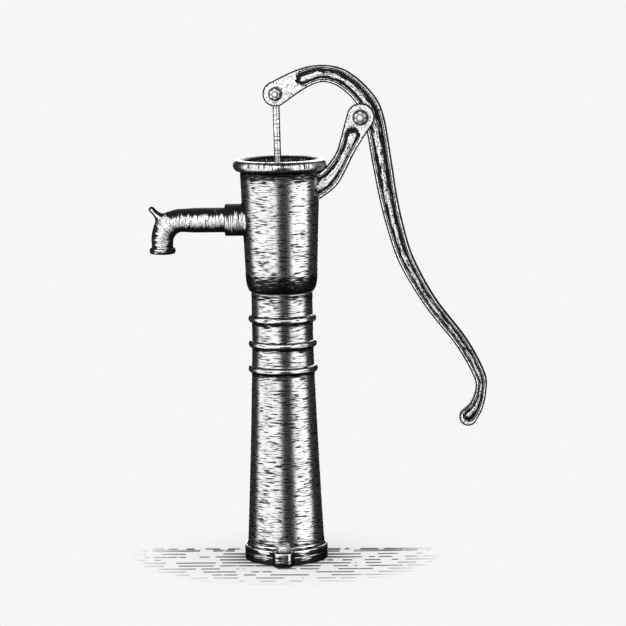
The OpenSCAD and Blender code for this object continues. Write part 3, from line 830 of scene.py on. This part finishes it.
def footProfile():
    # the column's own flange: a fillet up to the taper, and a round top edge
    fillet, edge, flange = 4.0, 1.8, column["flangeR"]
    foot = columnRadius(footTop + fillet)
    wall = column["footR"] - column["wall"]
    out = [(wall, footTop + fillet), (foot - 0.3, footTop + fillet)]
    for k in range(8):
        a = math.pi / 2 * k / 7
        out.append((foot + fillet * (1 - math.cos(a)), footTop + fillet * (1 - math.sin(a))))
    for k in range(8):
        a = math.pi / 2 * k / 7
        out.append((flange - edge + edge * math.sin(a), footTop - edge + edge * math.cos(a)))
    out += [(flange, z) for z in (footTop - 6, baseTop + 1.8, baseTop + 0.5)]
    out += [(flange - 0.5, baseTop), (wall, baseTop)]
    return out


def footShade(x, y, z):
    # painted shade beside the lugs, at the foot's sides, along its lower edge and under its top edge, over a
    # painted shade on the whole outer wall
    if math.hypot(x, y) < column["footR"] + 1:
        return 0
    beside = abs(x) - column["lugR"]
    crease = smoothstep(-0.8, 1, beside) * smoothstep(18, 4, beside)
    upper = 0.7 * smoothstep(14, 19.5, z) if z < footTop - 1.6 else 0
    return 0.42 + 0.6 * max(crease, smoothstep(23, 41, beside), smoothstep(9, 3, z), upper)


def columnShade(x, y, z):
    # painted shade at the joint, under each bead and at the foot
    if z < footTop - 0.2:
        return footShade(x, y, z)
    rise = z - footTop
    dark = max(0.62 * smoothstep(386, 404, z), 0.55 * smoothstep(24, 4, rise) * smoothstep(-2, 2, rise))
    for k in range(3):
        bead = column["topBead"] - k * column["beadStep"]
        if z < bead - 2:
            dark = max(dark, 0.7 * smoothstep(bead - 15, bead - 5, z))
    return dark


columnPiece = growFrom("column", shellTree("turnedColumn", columnSizes, columnRows, 160, columnSurface),
                       {"Finish": barrelIron})
lugged = flangeShape(column["footR"] + 1)
join(columnPiece, lathe("foot", footProfile(), turns=192, radiusAt=lugged))
finishPiece(columnPiece, barrelIron, "root", "castings", "column", shade=columnShade)

base = {"edge": 1.2, "portR": 20.5, "portDepth": 19, "seatR": 15, "hubR": 27, "hubTop": 26}
baseProfile = rounded([
    (base["seatR"], base["hubTop"], 0.8), (base["hubR"], base["hubTop"], 1.5), (base["hubR"], baseTop, 2),
    (column["flangeR"], baseTop, 0.4), (column["flangeR"], 0, base["edge"]), (base["portR"], 0, 1.5),
    (base["portR"], base["portDepth"], 1), (base["seatR"], base["portDepth"], 0.5)])
basePiece = lathe("basePlate", refined(baseProfile, True, 3.5), turns=192, radiusAt=lugged)
thread = {"Radius": base["portR"], "Pitch": 2.31, "Turns": 6.0, "Depth": 1.0, "Start": 2.0}


def threadTree():
    # a helix of thread inside the suction port, as a sweep of a small V section
    tree = openTree("portThread", thread)
    given = tree.nodes.new("NodeGroupInput").outputs
    formula = Formula(tree)
    helix = addNode(tree, "GeometryNodeCurveSpiral", {
        "Resolution": 64, "Rotations": given["Turns"], "Start Radius": given["Radius"],
        "End Radius": given["Radius"], "Height": formula("MULTIPLY", given["Turns"], given["Pitch"])})
    raised = addNode(tree, "GeometryNodeTransform", {
        "Geometry": helix.outputs[0], "Translation": formula.combine(0, 0, given["Start"])})
    section = addNode(tree, "GeometryNodeCurvePrimitiveCircle", {"Resolution": 4, "Radius": given["Depth"]})
    swept = addNode(tree, "GeometryNodeCurveToMesh", {
        "Curve": raised.outputs[0], "Profile Curve": section.outputs[0], "Fill Caps": True})
    return closeTree(tree, swept.outputs[0], given["Finish"])


portThread = growFrom("portThread", threadTree(), {"Finish": barrelIron})
finishPiece(portThread, barrelIron, "root", "castings")

# the two ears that hold the clack's hinge pin
hinge = {"x": -29.5, "inner": 6.5, "outer": 12, "long": 9, "tall": 25, "middle": 23.5, "edge": 1.2}
ears = []
for side in (-1, 1):
    ear = bpy.data.meshes.new("ear")
    bm = bmesh.new()
    bmesh.ops.create_cube(bm, size=1)
    wide = hinge["outer"] - hinge["inner"]
    place = (hinge["x"], side * (hinge["inner"] + wide / 2), hinge["middle"])
    bmesh.ops.scale(bm, vec=(hinge["long"], wide, hinge["tall"]), verts=bm.verts)
    bmesh.ops.translate(bm, vec=place, verts=bm.verts)
    bmesh.ops.bevel(bm, geom=bm.edges[:], offset=hinge["edge"], segments=3, affect="EDGES")
    bmesh.ops.scale(bm, vec=(mm, mm, mm), verts=bm.verts)
    bm.to_mesh(ear)
    bm.free()
    ears.append(bpy.data.objects.new("ear", ear))
    bpy.context.scene.collection.objects.link(ears[-1])
join(basePiece, *ears)
smoothShade(basePiece, 34)
finishPiece(basePiece, barrelIron, "root", "castings", "base_plate", shade=footShade, edges=unmarked)

neckRing = {"inner": 43.7, "outer": 46.15, "top": neckZ + 1.5}
gasketPiece = lathe("neckGasket", rounded([
    (neckRing["inner"], neckZ, 0.2), (neckRing["outer"], neckZ, 0.5),
    (neckRing["outer"], neckRing["top"], 0.5), (neckRing["inner"], neckRing["top"], 0.2)]))
finishPiece(gasketPiece, leather, "root", "leather", "neck_gasket")

# spout, swept by a node tree

spout = {
    "bendX": -148, "bendZ": 484, "z": 514, "bendR": 30, "pipeR": 18.5, "bendTubeR": 17.5,
    "nozzleR": 16, "lipR": 19.5, "lipH": 9.5, "boreR": 12,
    "spurTip": 4.5, "spurFlare": 6.2, "spurFrom": 41, "spurTo": 65, "spurRise": 46,
}
spoutLevel = -spoutStart - spout["bendX"]
spoutTotal = spoutLevel + math.pi / 2 * spout["bendR"] + spout["bendZ"] - nozzleEnd
spoutRows = 301
spoutSizes = {
    "Start": spoutStart, "Height": spout["z"], "Level": spoutLevel, "Bend": spout["bendR"],
    "Total": spoutTotal, "Pipe Radius": spout["pipeR"], "Tube Radius": spout["bendTubeR"],
    "Nozzle Radius": spout["nozzleR"],
    "Lip Radius": spout["lipR"], "Lip Height": spout["lipH"], "Bore": spout["boreR"],
}


def spoutSurface(formula, given, row, angle):
    # the rows run out along the outside, back along the bore, and meet where they began
    last = spoutRows - 1
    outside = formula("LESS_THAN", row, last + 0.5)
    there = formula("DIVIDE", row, last)
    back = formula("DIVIDE", formula("SUBTRACT", 2 * last + 1, row), last)
    t = formula("MAXIMUM", formula("ADD", formula("MULTIPLY", there, outside),
                                   formula("MULTIPLY", back, formula("SUBTRACT", 1, outside))), 0)
    s = formula("MULTIPLY", t, given["Total"])

    def ramp(low, high):
        share = formula("DIVIDE", formula("SUBTRACT", s, low), formula("SUBTRACT", high, low))
        share = formula("MINIMUM", formula("MAXIMUM", share, 0), 1)
        return formula("MULTIPLY", formula("MULTIPLY", share, share), formula("MULTIPLY_ADD", share, -2, 3))

    bendEnd = formula("MULTIPLY_ADD", given["Bend"], math.pi / 2, given["Level"])
    bendLate = formula("MULTIPLY_ADD", given["Bend"], 0.9, given["Level"])
    early = formula("MULTIPLY", ramp(formula("SUBTRACT", given["Level"], 22), given["Level"]),
                    formula("SUBTRACT", given["Pipe Radius"], given["Tube Radius"]))
    late = formula("MULTIPLY", ramp(bendLate, formula("SUBTRACT", given["Total"], given["Lip Height"])),
                   formula("SUBTRACT", given["Tube Radius"], given["Nozzle Radius"]))
    radius = formula("SUBTRACT", formula("SUBTRACT", given["Pipe Radius"], early), late)
    half = formula("DIVIDE", given["Lip Height"], 2)
    off = formula("DIVIDE", formula("SUBTRACT", s, formula("SUBTRACT", given["Total"], half)), half)
    bulge = formula("SUBTRACT", 1, formula("POWER", formula("ABSOLUTE", off), 3))
    roll = formula("SQRT", formula("MAXIMUM", bulge, 0))
    lip = formula("SUBTRACT", given["Lip Radius"], given["Nozzle Radius"])
    radius = formula("MULTIPLY_ADD", roll, lip, radius)
    closing = formula("GREATER_THAN", row, 2 * last + 1.5)
    isOuter = formula("MAXIMUM", outside, closing)
    radius = formula("ADD", formula("MULTIPLY", radius, isOuter),
                     formula("MULTIPLY", given["Bore"], formula("SUBTRACT", 1, isOuter)))

    turn = formula("DIVIDE", formula("SUBTRACT", s, given["Level"]), given["Bend"])
    turn = formula("MINIMUM", formula("MAXIMUM", turn, 0), math.pi / 2)
    drop = formula("MAXIMUM", formula("SUBTRACT", s, bendEnd), 0)
    up = formula("MULTIPLY", radius, formula("COSINE", angle))
    sine, cosine = formula("SINE", turn), formula("COSINE", turn)
    reach = formula("ADD", formula("MINIMUM", s, given["Level"]),
                    formula("MULTIPLY", formula("ADD", given["Bend"], up), sine))
    x = formula("SUBTRACT", formula("MULTIPLY", given["Start"], -1), reach)
    z = formula("ADD", formula("SUBTRACT", given["Height"], given["Bend"]),
                formula("MULTIPLY", formula("ADD", given["Bend"], up), cosine))
    return x, formula("MULTIPLY", radius, formula("SINE", angle)), formula("SUBTRACT", z, drop)


def onSpout(x, z):
    # how far along the spout a point is, and how far outwards from the bend's middle side
    if x > spout["bendX"]:
        return spout["bendX"] - x, z - spout["z"]
    if z > spout["bendZ"]:
        turn = math.atan2(spout["bendX"] - x, z - spout["bendZ"])
        return spout["bendR"] * turn, math.hypot(x - spout["bendX"], z - spout["bendZ"]) - spout["bendR"]
    return spout["bendR"] * math.pi / 2 + spout["bendZ"] - z, nozzleX - x


def spoutStrokes(spots):
    # strokes round the pipe
    places = [onSpout(x, z) for x, _, z in spots]
    return [(up, y, s) for (s, up), (_, y, _) in zip(places, spots)]


def spurRadius(s):
    return spout["spurTip"] + min(12, spout["spurFlare"] * math.exp((47.5 - s) / 3.4))


def onSpur(x, z):
    # how far along the spur a point is, and how far across it
    rise = math.radians(spout["spurRise"])
    left, up = spout["bendX"] - x, z - spout["bendZ"]
    return left * math.cos(rise) + up * math.sin(rise), up * math.cos(rise) - left * math.sin(rise)


def spoutShade(x, y, z):
    # painted shade along the top and the underside, beside the spur, and on the lower half of the lip
    side = onSpout(x, z)[1] / spout["pipeR"]
    lip = smoothstep(nozzleEnd + 6.5, nozzleEnd + 5, z) if x < spout["bendX"] else 0
    pipe = max(0.9 * smoothstep(0.06, 0.8, abs(side)), 0.55 * lip)
    along, across = onSpur(x, z)
    if along > 46:
        beyond = max(0, along - spout["spurTo"])
        return 1.2 * smoothstep(0.1, 0.5, math.hypot(across, beyond) / spurRadius(along))
    return pipe * (1 - smoothstep(14, 5, abs(across)) * smoothstep(26, 42, along))


def bossShade(x, y, z):
    # darker than the pipe, with a black edge
    side = abs(z - boss["z"]) / boss["r"]
    end = smoothstep(2.4, 1, x - spoutBossEnd)
    return 0.16 + 0.8 * smoothstep(0.1, 0.9, side) + 0.5 * end


def spurPiece():
    # the bucket's hook: a round horn whose root flares into the bend
    rows = []
    steps = 40
    rise = math.radians(spout["spurRise"])
    for k in range(steps + 1):
        s = spout["spurFrom"] + (spout["spurTo"] - spout["spurFrom"]) * k / steps
        rows.append((s, spurRadius(s), 1 - 0.3 * smoothstep(50, 44, s)))
    for k in range(1, 9):
        a = math.pi / 2 * k / 8
        tip = spout["spurTip"]
        rows.append((spout["spurTo"] + tip * math.sin(a), max(0.02, tip * math.cos(a)), 1))
    turns = 48
    verts = []
    for s, r, flat in rows:
        for j in range(turns):
            b = 2 * math.pi * j / turns
            side = r * math.cos(b)
            verts.append((spout["bendX"] + side * math.sin(rise) - s * math.cos(rise), r * math.sin(b) * flat,
                          spout["bendZ"] + side * math.cos(rise) + s * math.sin(rise)))
    faces = gridFaces(len(rows), turns, False, True)
    faces.append(tuple(range(turns)))
    faces.append(tuple(range(turns * (len(rows) - 1), turns * len(rows))))
    return makePiece("spur", verts, faces, 60)


finishPiece(bossPiece(), paintedLightIron, "root", "castings", "spout_boss",
            shade=bossShade, strokes=spoutStrokes, edges=unmarked)
spoutPiece = growFrom("spout", shellTree("sweptSpout", spoutSizes, 2 * spoutRows + 1, 72, spoutSurface),
                      {"Finish": paintedLightIron})
join(spoutPiece, spurPiece())
finishPiece(spoutPiece, paintedLightIron, "root", "castings", "spout",
            shade=spoutShade, strokes=spoutStrokes, edges=unmarked)

# lever plates: handle and bracket


def between(a, b, c, d, t):
    return [0.5 * (2 * q + (r - p) * t + (2 * p - 5 * q + 4 * r - s) * t * t
                   + (3 * q - p - 3 * r + s) * t ** 3) for p, q, r, s in zip(a, b, c, d)]


def smoothLine(line, steps):
    out = []
    last = len(line) - 1
    for i in range(last):
        knots = [line[max(0, min(last, i + k))] for k in (-1, 0, 1, 2)]
        out += [between(*knots, k / steps) for k in range(steps)]
    out.append(list(line[last]))
    return out


def evenLine(line, spacing):
    # the same curve, walked at even steps: [x, z, half width, along]
    lengths = [0]
    for a, b in zip(line, line[1:]):
        lengths.append(lengths[-1] + math.hypot(b[0] - a[0], b[1] - a[1]))
    count = round(lengths[-1] / spacing)
    out = []
    i = 0
    for k in range(count + 1):
        s = lengths[-1] * k / count
        while i < len(lengths) - 2 and lengths[i + 1] < s:
            i += 1
        t = (s - lengths[i]) / (lengths[i + 1] - lengths[i])
        a, b = line[i], line[i + 1]
        out.append([a[0] + (b[0] - a[0]) * t, a[1] + (b[1] - a[1]) * t, (a[2] + (b[2] - a[2]) * t) / 2, s])
    return out


def nearness(distance, radius):
    # how far a rounded edge has dropped, at a distance in from the outline
    if distance >= radius:
        return 0
    return radius - math.sqrt(max(0, radius ** 2 - (radius - max(0, distance)) ** 2))


def plateRows(walk, caps):
    # the walk's points with their directions, and a round cap at each end that has one
    rows = []
    for i, here in enumerate(walk):
        a, b = walk[max(0, i - 1)], walk[min(len(walk) - 1, i + 1)]
        dx, dz = b[0] - a[0], b[1] - a[1]
        size = math.hypot(dx, dz)
        rows.append([*here, (dx / size, dz / size)])
    ends = []
    for end, inner, sign in ((0, 1, -1), (-1, -2, 1)):
        x, z, half, s = walk[end]
        dx, dz = (x - walk[inner][0]) * sign, (z - walk[inner][1]) * sign
        size = math.hypot(dx, dz)
        ux, uz = dx / size, dz / size
        cap = []
        for k in range(1, 15):
            out = sign * half * math.sin(math.pi / 2 * k / 14)
            wide = math.sqrt(max(0, half ** 2 - out ** 2))
            cap.append([x + ux * out, z + uz * out, wide, s + out, (ux, uz)])
        ends.append(cap if caps[end] else [])
    return ends[0][::-1] + rows + ends[1]


def leverPlate(name, line, form):
    # a flat bar along a curved middle line, with round ends, soft edges and a sunk panel on both faces
    walk = evenLine(smoothLine(line, 12), form["spacing"])
    total = walk[-1][3]
    rows = plateRows(walk, form["caps"])
    edge, border = form["edge"], form["border"]
    startAt, endAt = form["panel"]
    endAt = total - endAt

    def halfAt(s):
        place = min(len(walk) - 1.001, max(0, s / total * (len(walk) - 1)))
        i = int(place)
        return walk[i][2] + (walk[i + 1][2] - walk[i][2]) * (place - i)

    insets = [0, 0.12, 0.4, 0.8, 1.3, 1.9, border - 0.9, border - 0.3, border + 0.2, border + 0.7,
              border + 1.3, border + 2.0, border + 3.0]

    def depths(s, w, half):
        # how far in from the outline, and from the panel's border
        if s < 0:
            distance = halfAt(0) - math.hypot(s, w)
        elif s > total:
            distance = halfAt(total) - math.hypot(s - total, w)
        else:
            distance = half - abs(w)
        inside = half - border - abs(w)
        if s < startAt:
            inside = halfAt(startAt) - border - math.hypot(s - startAt, w)
        elif s > endAt:
            inside = halfAt(endAt) - border - math.hypot(s - endAt, w)
        return distance, inside

    def faceHeight(s, w, half):
        distance, inside = depths(s, w, half)
        sunk = form["sink"] * smoothstep(-0.7, 1.5, inside)
        crown = form["crown"] * smoothstep(0.8, max(2, half - border), inside)
        return form["thick"](s, total) - nearness(distance, edge) - sunk + crown

    def onLine(spots):
        # each point's distance along the middle line, and across it
        line = numpy.array([[row[0], row[1]] for row in walk])
        way = line[1:] - line[:-1]
        size = numpy.linalg.norm(way, axis=1)
        way = way / size[:, None]
        along, across = [], []
        for x, _, z in spots:
            gap = numpy.array([x, z]) - line[:-1]
            ahead = (gap * way).sum(axis=1)
            aside = gap[:, 1] * way[:, 0] - gap[:, 0] * way[:, 1]
            beyond = numpy.maximum(numpy.maximum(-ahead, ahead - size), 0)
            i = int(numpy.argmin(numpy.hypot(beyond, aside)))
            along.append(walk[i][3] + ahead[i])
            across.append(aside[i])
        return along, across

    def strokes(spots):
        return [(s, y, w) for s, w, (_, y, _) in zip(*onLine(spots), spots)]

    def outlines(spots):
        # how far in each point lies from the outline and from the panel's border, and the reach of the painted
        # shade
        marks = []
        for s, w, (_, y, _) in zip(*onLine(spots), spots):
            distance, inside = depths(s, w, halfAt(s))
            below = 6 * (1 - smoothstep(5, 2, form["thick"](s, total) - abs(y)))
            # the painted shade reaches further on the side where w is positive
            reach = form["paintedShade"] * (halfAt(s) - border) * (1.25 if w > 0 else 0.8)
            marks.append((distance + below, inside - below, reach))
        return marks

    verts = []
    for x, z, half, s, (ux, uz) in rows:
        full = max(0.01, halfAt(s))
        fit = min(1, half / full)
        marks = [d * fit for d in insets if d < full * 0.8]
        marks += [half * (1 - f) for f in (0.3, 0.15, 0)] if half > 0 else [0, 0, 0]
        marks = sorted(min(m, half) for m in marks)
        while len(marks) < len(insets) + 3:
            marks.insert(-1, (marks[-2] + marks[-1]) / 2)
        across = [m - half for m in marks] + [half - m for m in marks[-2::-1]]
        loop = []
        for w in across:
            loop.append((x - uz * w, -faceHeight(s, w, half), z + ux * w))
        for w in across[::-1]:
            loop.append((x - uz * w, faceHeight(s, w, half), z + ux * w))
        verts += loop
    cols = len(loop)
    faces = gridFaces(len(rows), cols, False, True)
    if not form["caps"][0]:
        faces.append(tuple(range(cols)))
    if not form["caps"][1]:
        faces.append(tuple(range(cols * (len(rows) - 1), cols * len(rows))))
    return makePiece(name, verts, faces, 50), strokes, outlines


def disc(name, centre, half, radius, edge):
    # a round plate that stands across the pump, with soft edges
    profile = rounded([(0, -half, 0), (radius, -half, edge), (radius, half, edge), (0, half, 0)])
    piece = lathe(name, profile, 72, closed=False)
    place = Vector((centre[0], 0, centre[2])) * mm
    piece.data.transform(Matrix.Translation(place) @ Matrix.Rotation(math.pi / 2, 4, "X"))
    return piece


handle = {
    "line": [
        [-4, 702, 38], [34, 723, 31], [64, 731, 26], [94, 724, 27], [124, 698, 28], [141, 666, 30],
        [153, 596, 29], [161, 547, 27], [172, 498, 25], [188, 449, 23], [222, 388, 20],
        [268, 327, 19], [294, 278, 18], [296, 253, 17], [289, 230, 21], [277, 214, 27]],
    "forkHalf": 12, "forkEnds": (28, 64), "slotHalf": 5.6, "slotR": 25, "bossR": 20,
}
handleForm = {
    "spacing": 2.0, "caps": (True, True), "edge": 1.5, "border": 3.8, "sink": 3.2, "crown": 1.0,
    "panel": (47, 2), "paintedShade": 1.0,
    "thick": lambda s, total: handleHalf + (handle["forkHalf"] - handleHalf) * (
        1 - smoothstep(*handle["forkEnds"], s)),
}
handlePiece, handleStrokes, handleOutlines = leverPlate("handle", handle["line"], handleForm)
slot = disc("slot", rodEnd, handle["slotHalf"], handle["slotR"], 0.6)
cut(handlePiece, slot)
smoothShade(handlePiece, 40)
join(handlePiece, disc("boss", fulcrum, handleHalf, handle["bossR"], 1.2))
finishPiece(handlePiece, leverIron, "handle", "castings", "handle",
            strokes=handleStrokes, outline=handleOutlines)

bracket = {
    "line": [
        [50, 560, 36], [73, 575, 32], [87, 593, 27], [97, 611, 25], [105, 629, 29], [113, 647, 35],
        [fulcrum[0], fulcrum[2], 42]],
    "armHalf": 10, "cheekHalf": 14.5, "palmHalf": 15, "slotHalf": 7.5, "slotR": 31,
    "seatFrom": 480, "seatTo": 620, "bite": 3,
}
bracketForm = {
    "spacing": 1.6, "caps": (False, True), "edge": 1.7, "border": 4.4, "sink": 3.2, "crown": 0.9,
    "panel": (0, 29), "paintedShade": 0.75,
    "thick": lambda s, total: bracket["armHalf"] + (bracket["palmHalf"] - bracket["armHalf"]) * (
        1 - smoothstep(16, 40, s)) + (bracket["cheekHalf"] - bracket["armHalf"]) * smoothstep(64, 92, s),
}
bracketPiece, bracketStrokes, bracketOutlines = leverPlate("handleBracket", bracket["line"], bracketForm)
crotch = disc("crotch", fulcrum, bracket["slotHalf"], bracket["slotR"], 0.8)
seatWall = [(bowlRadius(z) - bracket["bite"], z) for z in (bracket["seatFrom"], bracket["seatTo"])]
seat = lathe("seat", [(0, bracket["seatFrom"]), *seatWall, (0, bracket["seatTo"])], 96)
cut(bracketPiece, crotch, seat)
smoothShade(bracketPiece, 40)
finishPiece(bracketPiece, leverIron, "root", "castings", "handle_bracket",
            strokes=bracketStrokes, outline=bracketOutlines)

# pump rod

rod = {"r": 5.25, "eyeR": 12, "eyeHalf": 5.2, "footZ": 406, "tail": 17, "neck": 16}


def rodPiece():
    length = math.hypot(rodEnd[0], rodEnd[2] - rod["footZ"])
    stop = length - 6
    low, high = -rod["tail"], stop - rod["neck"]
    profile = rounded([(0, low, 0), (rod["r"], low, 1.2), (rod["r"], high, 0)], closed=False)
    for k in range(1, 11):
        t = k / 10
        profile.append((rod["r"] + 2.6 * t * t, high + rod["neck"] * t))
    profile.append((0, stop))
    piece = lathe("pumpRod", refined(profile, False, 12), 48, closed=False)
    flat = rod["eyeHalf"] * mm
    for v in piece.data.vertices:
        if v.co.z > (stop - 2) * mm:
            v.co.y = max(-flat, min(flat, v.co.y))  # the neck is as thin as the eye
    lean = math.atan2(rodEnd[0], rodEnd[2] - rod["footZ"])
    piece.data.transform(Matrix.Translation((0, 0, rod["footZ"] * mm)) @ Matrix.Rotation(lean, 4, "Y"))
    return join(piece, disc("eye", rodEnd, rod["eyeHalf"], rod["eyeR"], 1.2))


def rodShade(x, y, z):
    axis = rodEnd[0] * (z - rod["footZ"]) / (rodEnd[2] - rod["footZ"])
    return 0.8 * smoothstep(0.35, 0.95, abs(x - axis) / rod["r"])


finishPiece(rodPiece(), rodSteel, "rod", "rod", "pump_rod", shade=rodShade)

# CAD pieces that stay, with their finishes

staying = {
    "brass": (brass, ["cylinder_liner", "fulcrum_bush", "plunger_cage", "plunger_follower", "plunger_valve",
                      "clack_plate", "clack_screw", "clack_pin"]),
    "steel": (steel, ["rod_stop_washers", "rod_nut"]),
    "leather": (leather, ["bracket_washers", "cup_leather", "clack_leather", "foot_gasket"]),
}
for material, nodes in staying.values():
    for node in nodes:
        inner = frame["nodes"][node]
        inner.data.materials.clear()
        inner.data.materials.append(material)
print("inner pieces finished")

# floor, light and camera

studio = {
    "floorR": 90, "floorTone": 0.925, "shadowTone": 0.45, "shadowReach": 0.20,
    "roomTone": 0.03, "skyTone": 0.92, "aim": (46.1, 0, 372.5), "distance": 4.5, "width": 0.938,
    "azimuth": 3.5, "elevation": 8.0, "roll": 0.95,
}
# painted shadow strokes on the ground: an oval that ends at a level line behind the foot
ground = {
    "spread": (4.2, 5.2, 0), "rows": 50, "wander": 1.2, "wanderSize": 2.5, "breaks": 38, "back": 0.052,
    "nearFrom": 0.27, "nearTo": 0.46, "thin": 0.24, "extra": 0.20, "dark": 0.85,
}


def groundShadowStrokes(tree, formula):
    # a painted shadow: rows of short strokes, broken up along their length, denser beside the foot
    place = addNode(tree, "ShaderNodeTexCoord").outputs["Object"]
    spot = formula.split(place)
    oval = addNode(tree, "ShaderNodeVectorMath", {0: place, 1: ground["spread"]}, operation="MULTIPLY")
    away = addNode(tree, "ShaderNodeVectorMath", {0: oval.outputs[0]}, operation="LENGTH").outputs["Value"]
    near = formula.mask(away, ground["nearTo"], ground["nearFrom"])
    size = ground["wanderSize"]
    cloud = formula.combine(formula("MULTIPLY", spot["X"], size), formula("MULTIPLY", spot["Y"], size), 4.5)
    wander = formula("MULTIPLY", formula.noise(cloud, 1.0, 1.0), ground["wander"])
    row = formula("MULTIPLY_ADD", spot["Y"], ground["rows"], wander)
    gap = formula("ABSOLUTE", formula("SUBTRACT", formula("FRACT", row), 0.5))
    thick = formula("MULTIPLY_ADD", near, ground["extra"], ground["thin"])
    line = formula.mask(gap, thick, formula("MULTIPLY", thick, 0.5))
    behind = formula("SUBTRACT", spot["Y"], ground["back"])
    level = formula.mask(formula("ABSOLUTE", behind), 0.010, 0.005)
    along = formula("MULTIPLY", spot["X"], ground["breaks"])
    step = formula.combine(along, formula("MULTIPLY", formula("FLOOR", row), 7.3), 0)
    broken = formula.mask(formula("MULTIPLY_ADD", near, 0.12, formula.noise(step, 1.0, 1.0)), 0.45, 0.49)
    line = formula("MULTIPLY", formula("MAXIMUM", line, level), broken)
    line = formula("MULTIPLY", line, formula.mask(away, 1.0, 0.7))
    return formula("MULTIPLY", line, formula.mask(behind, 0.01, 0.004))


def makeFloor():
    bm = bmesh.new()
    bmesh.ops.create_circle(bm, cap_ends=True, segments=96, radius=studio["floorR"])
    mesh = bpy.data.meshes.new("floor")
    bm.to_mesh(mesh)
    bm.free()
    floor = bpy.data.objects.new("floor", mesh)
    bpy.context.scene.collection.objects.link(floor)
    floor.location.z = -0.0002
    material = bpy.data.materials.new("paleFloor")
    material.use_nodes = True
    tree = material.node_tree
    tree.nodes.clear()
    path = addNode(tree, "ShaderNodeLightPath")
    covered = addNode(tree, "ShaderNodeAmbientOcclusion", {"Distance": studio["shadowReach"]}, samples=12)
    tone = addNode(tree, "ShaderNodeMapRange", {
        "Value": covered.outputs["AO"], "From Min": 0.25, "From Max": 1.0,
        "To Min": studio["shadowTone"], "To Max": studio["floorTone"]}).outputs["Result"]
    formula = Formula(tree)
    strokes = formula("MULTIPLY_ADD", groundShadowStrokes(tree, formula), -ground["dark"], 1)
    tone = formula("MULTIPLY", tone, strokes)
    glow = addNode(tree, "ShaderNodeEmission", {"Color": tone})
    matt = addNode(tree, "ShaderNodeBsdfDiffuse", {"Color": (0.30, 0.30, 0.30, 1)})
    mix = addNode(tree, "ShaderNodeMixShader", {
        0: path.outputs["Is Camera Ray"], 1: matt.outputs[0], 2: glow.outputs[0]})
    # clear from below, so that the underside can be looked at
    mix = addNode(tree, "ShaderNodeMixShader", {
        0: addNode(tree, "ShaderNodeNewGeometry").outputs["Backfacing"], 1: mix.outputs[0],
        2: addNode(tree, "ShaderNodeBsdfTransparent").outputs[0]})
    addNode(tree, "ShaderNodeOutputMaterial", {0: mix.outputs[0]})
    mesh.materials.append(material)
    floor.visible_glossy = False


def makeRoom():
    world = bpy.data.worlds.new("room")
    bpy.context.scene.world = world
    world.use_nodes = True
    tree = world.node_tree
    path = addNode(tree, "ShaderNodeLightPath")
    dark, pale = [(*[studio[key]] * 3, 1) for key in ("roomTone", "skyTone")]
    tone = addNode(tree, "ShaderNodeMix", {
        0: path.outputs["Is Camera Ray"], 6: dark, 7: pale}, data_type="RGBA")
    tree.links.new(tone.outputs[2], tree.nodes["Background"].inputs["Color"])


softboxes = {
    # compass angle from the front, height, distance, width, tall, watts
    "leftBox": (-52, 0.65, 1.18, 2.45, 2.5, 54),
    "rightBox": (63.5, 0.65, 1.46, 1.73, 2.5, 46),
    "keyBox": (5, 1.55, 2.0, 2.20, 1.2, 22),
    "backBox": (180, 1.70, 1.6, 1.40, 1.2, 20),
    "rearBox": (184, 0.50, 1.7, 0.80, 2.2, 16),
}


def makeLights():
    middle = Vector(studio["aim"]) * mm
    for name, (angle, height, away, wide, tall, watts) in softboxes.items():
        light = bpy.data.lights.new(name, "AREA")
        light.shape = "RECTANGLE"
        light.size, light.size_y, light.energy = wide, tall, watts
        lamp = bpy.data.objects.new(name, light)
        bpy.context.scene.collection.objects.link(lamp)
        a = math.radians(angle)
        lamp.location = (middle.x + away * math.sin(a), -away * math.cos(a), height)
        lamp.rotation_euler = (middle - lamp.location).to_track_quat("-Z", "Y").to_euler()
        lamp.visible_camera = False


def makeCamera():
    data = bpy.data.cameras.new("camera")
    camera = bpy.data.objects.new("camera", data)
    bpy.context.scene.collection.objects.link(camera)
    bpy.context.scene.camera = camera
    data.sensor_width = 36
    data.lens = 36 * studio["distance"] / studio["width"]
    a, e = math.radians(studio["azimuth"]), math.radians(studio["elevation"])
    back = Vector((math.sin(a) * math.cos(e), -math.cos(a) * math.cos(e), math.sin(e)))
    camera.location = Vector(studio["aim"]) * mm + back * studio["distance"]
    look = (-back).to_track_quat("-Z", "Y").to_matrix()
    camera.rotation_euler = (look @ Matrix.Rotation(math.radians(-studio["roll"]), 3, "Z")).to_euler()
    data.clip_start, data.clip_end = 0.05, 300


makeFloor()
makeRoom()
makeLights()
makeCamera()
bpy.context.scene.view_settings.view_transform = "Standard"
print("studio ready")

bpy.context.view_layer.update()
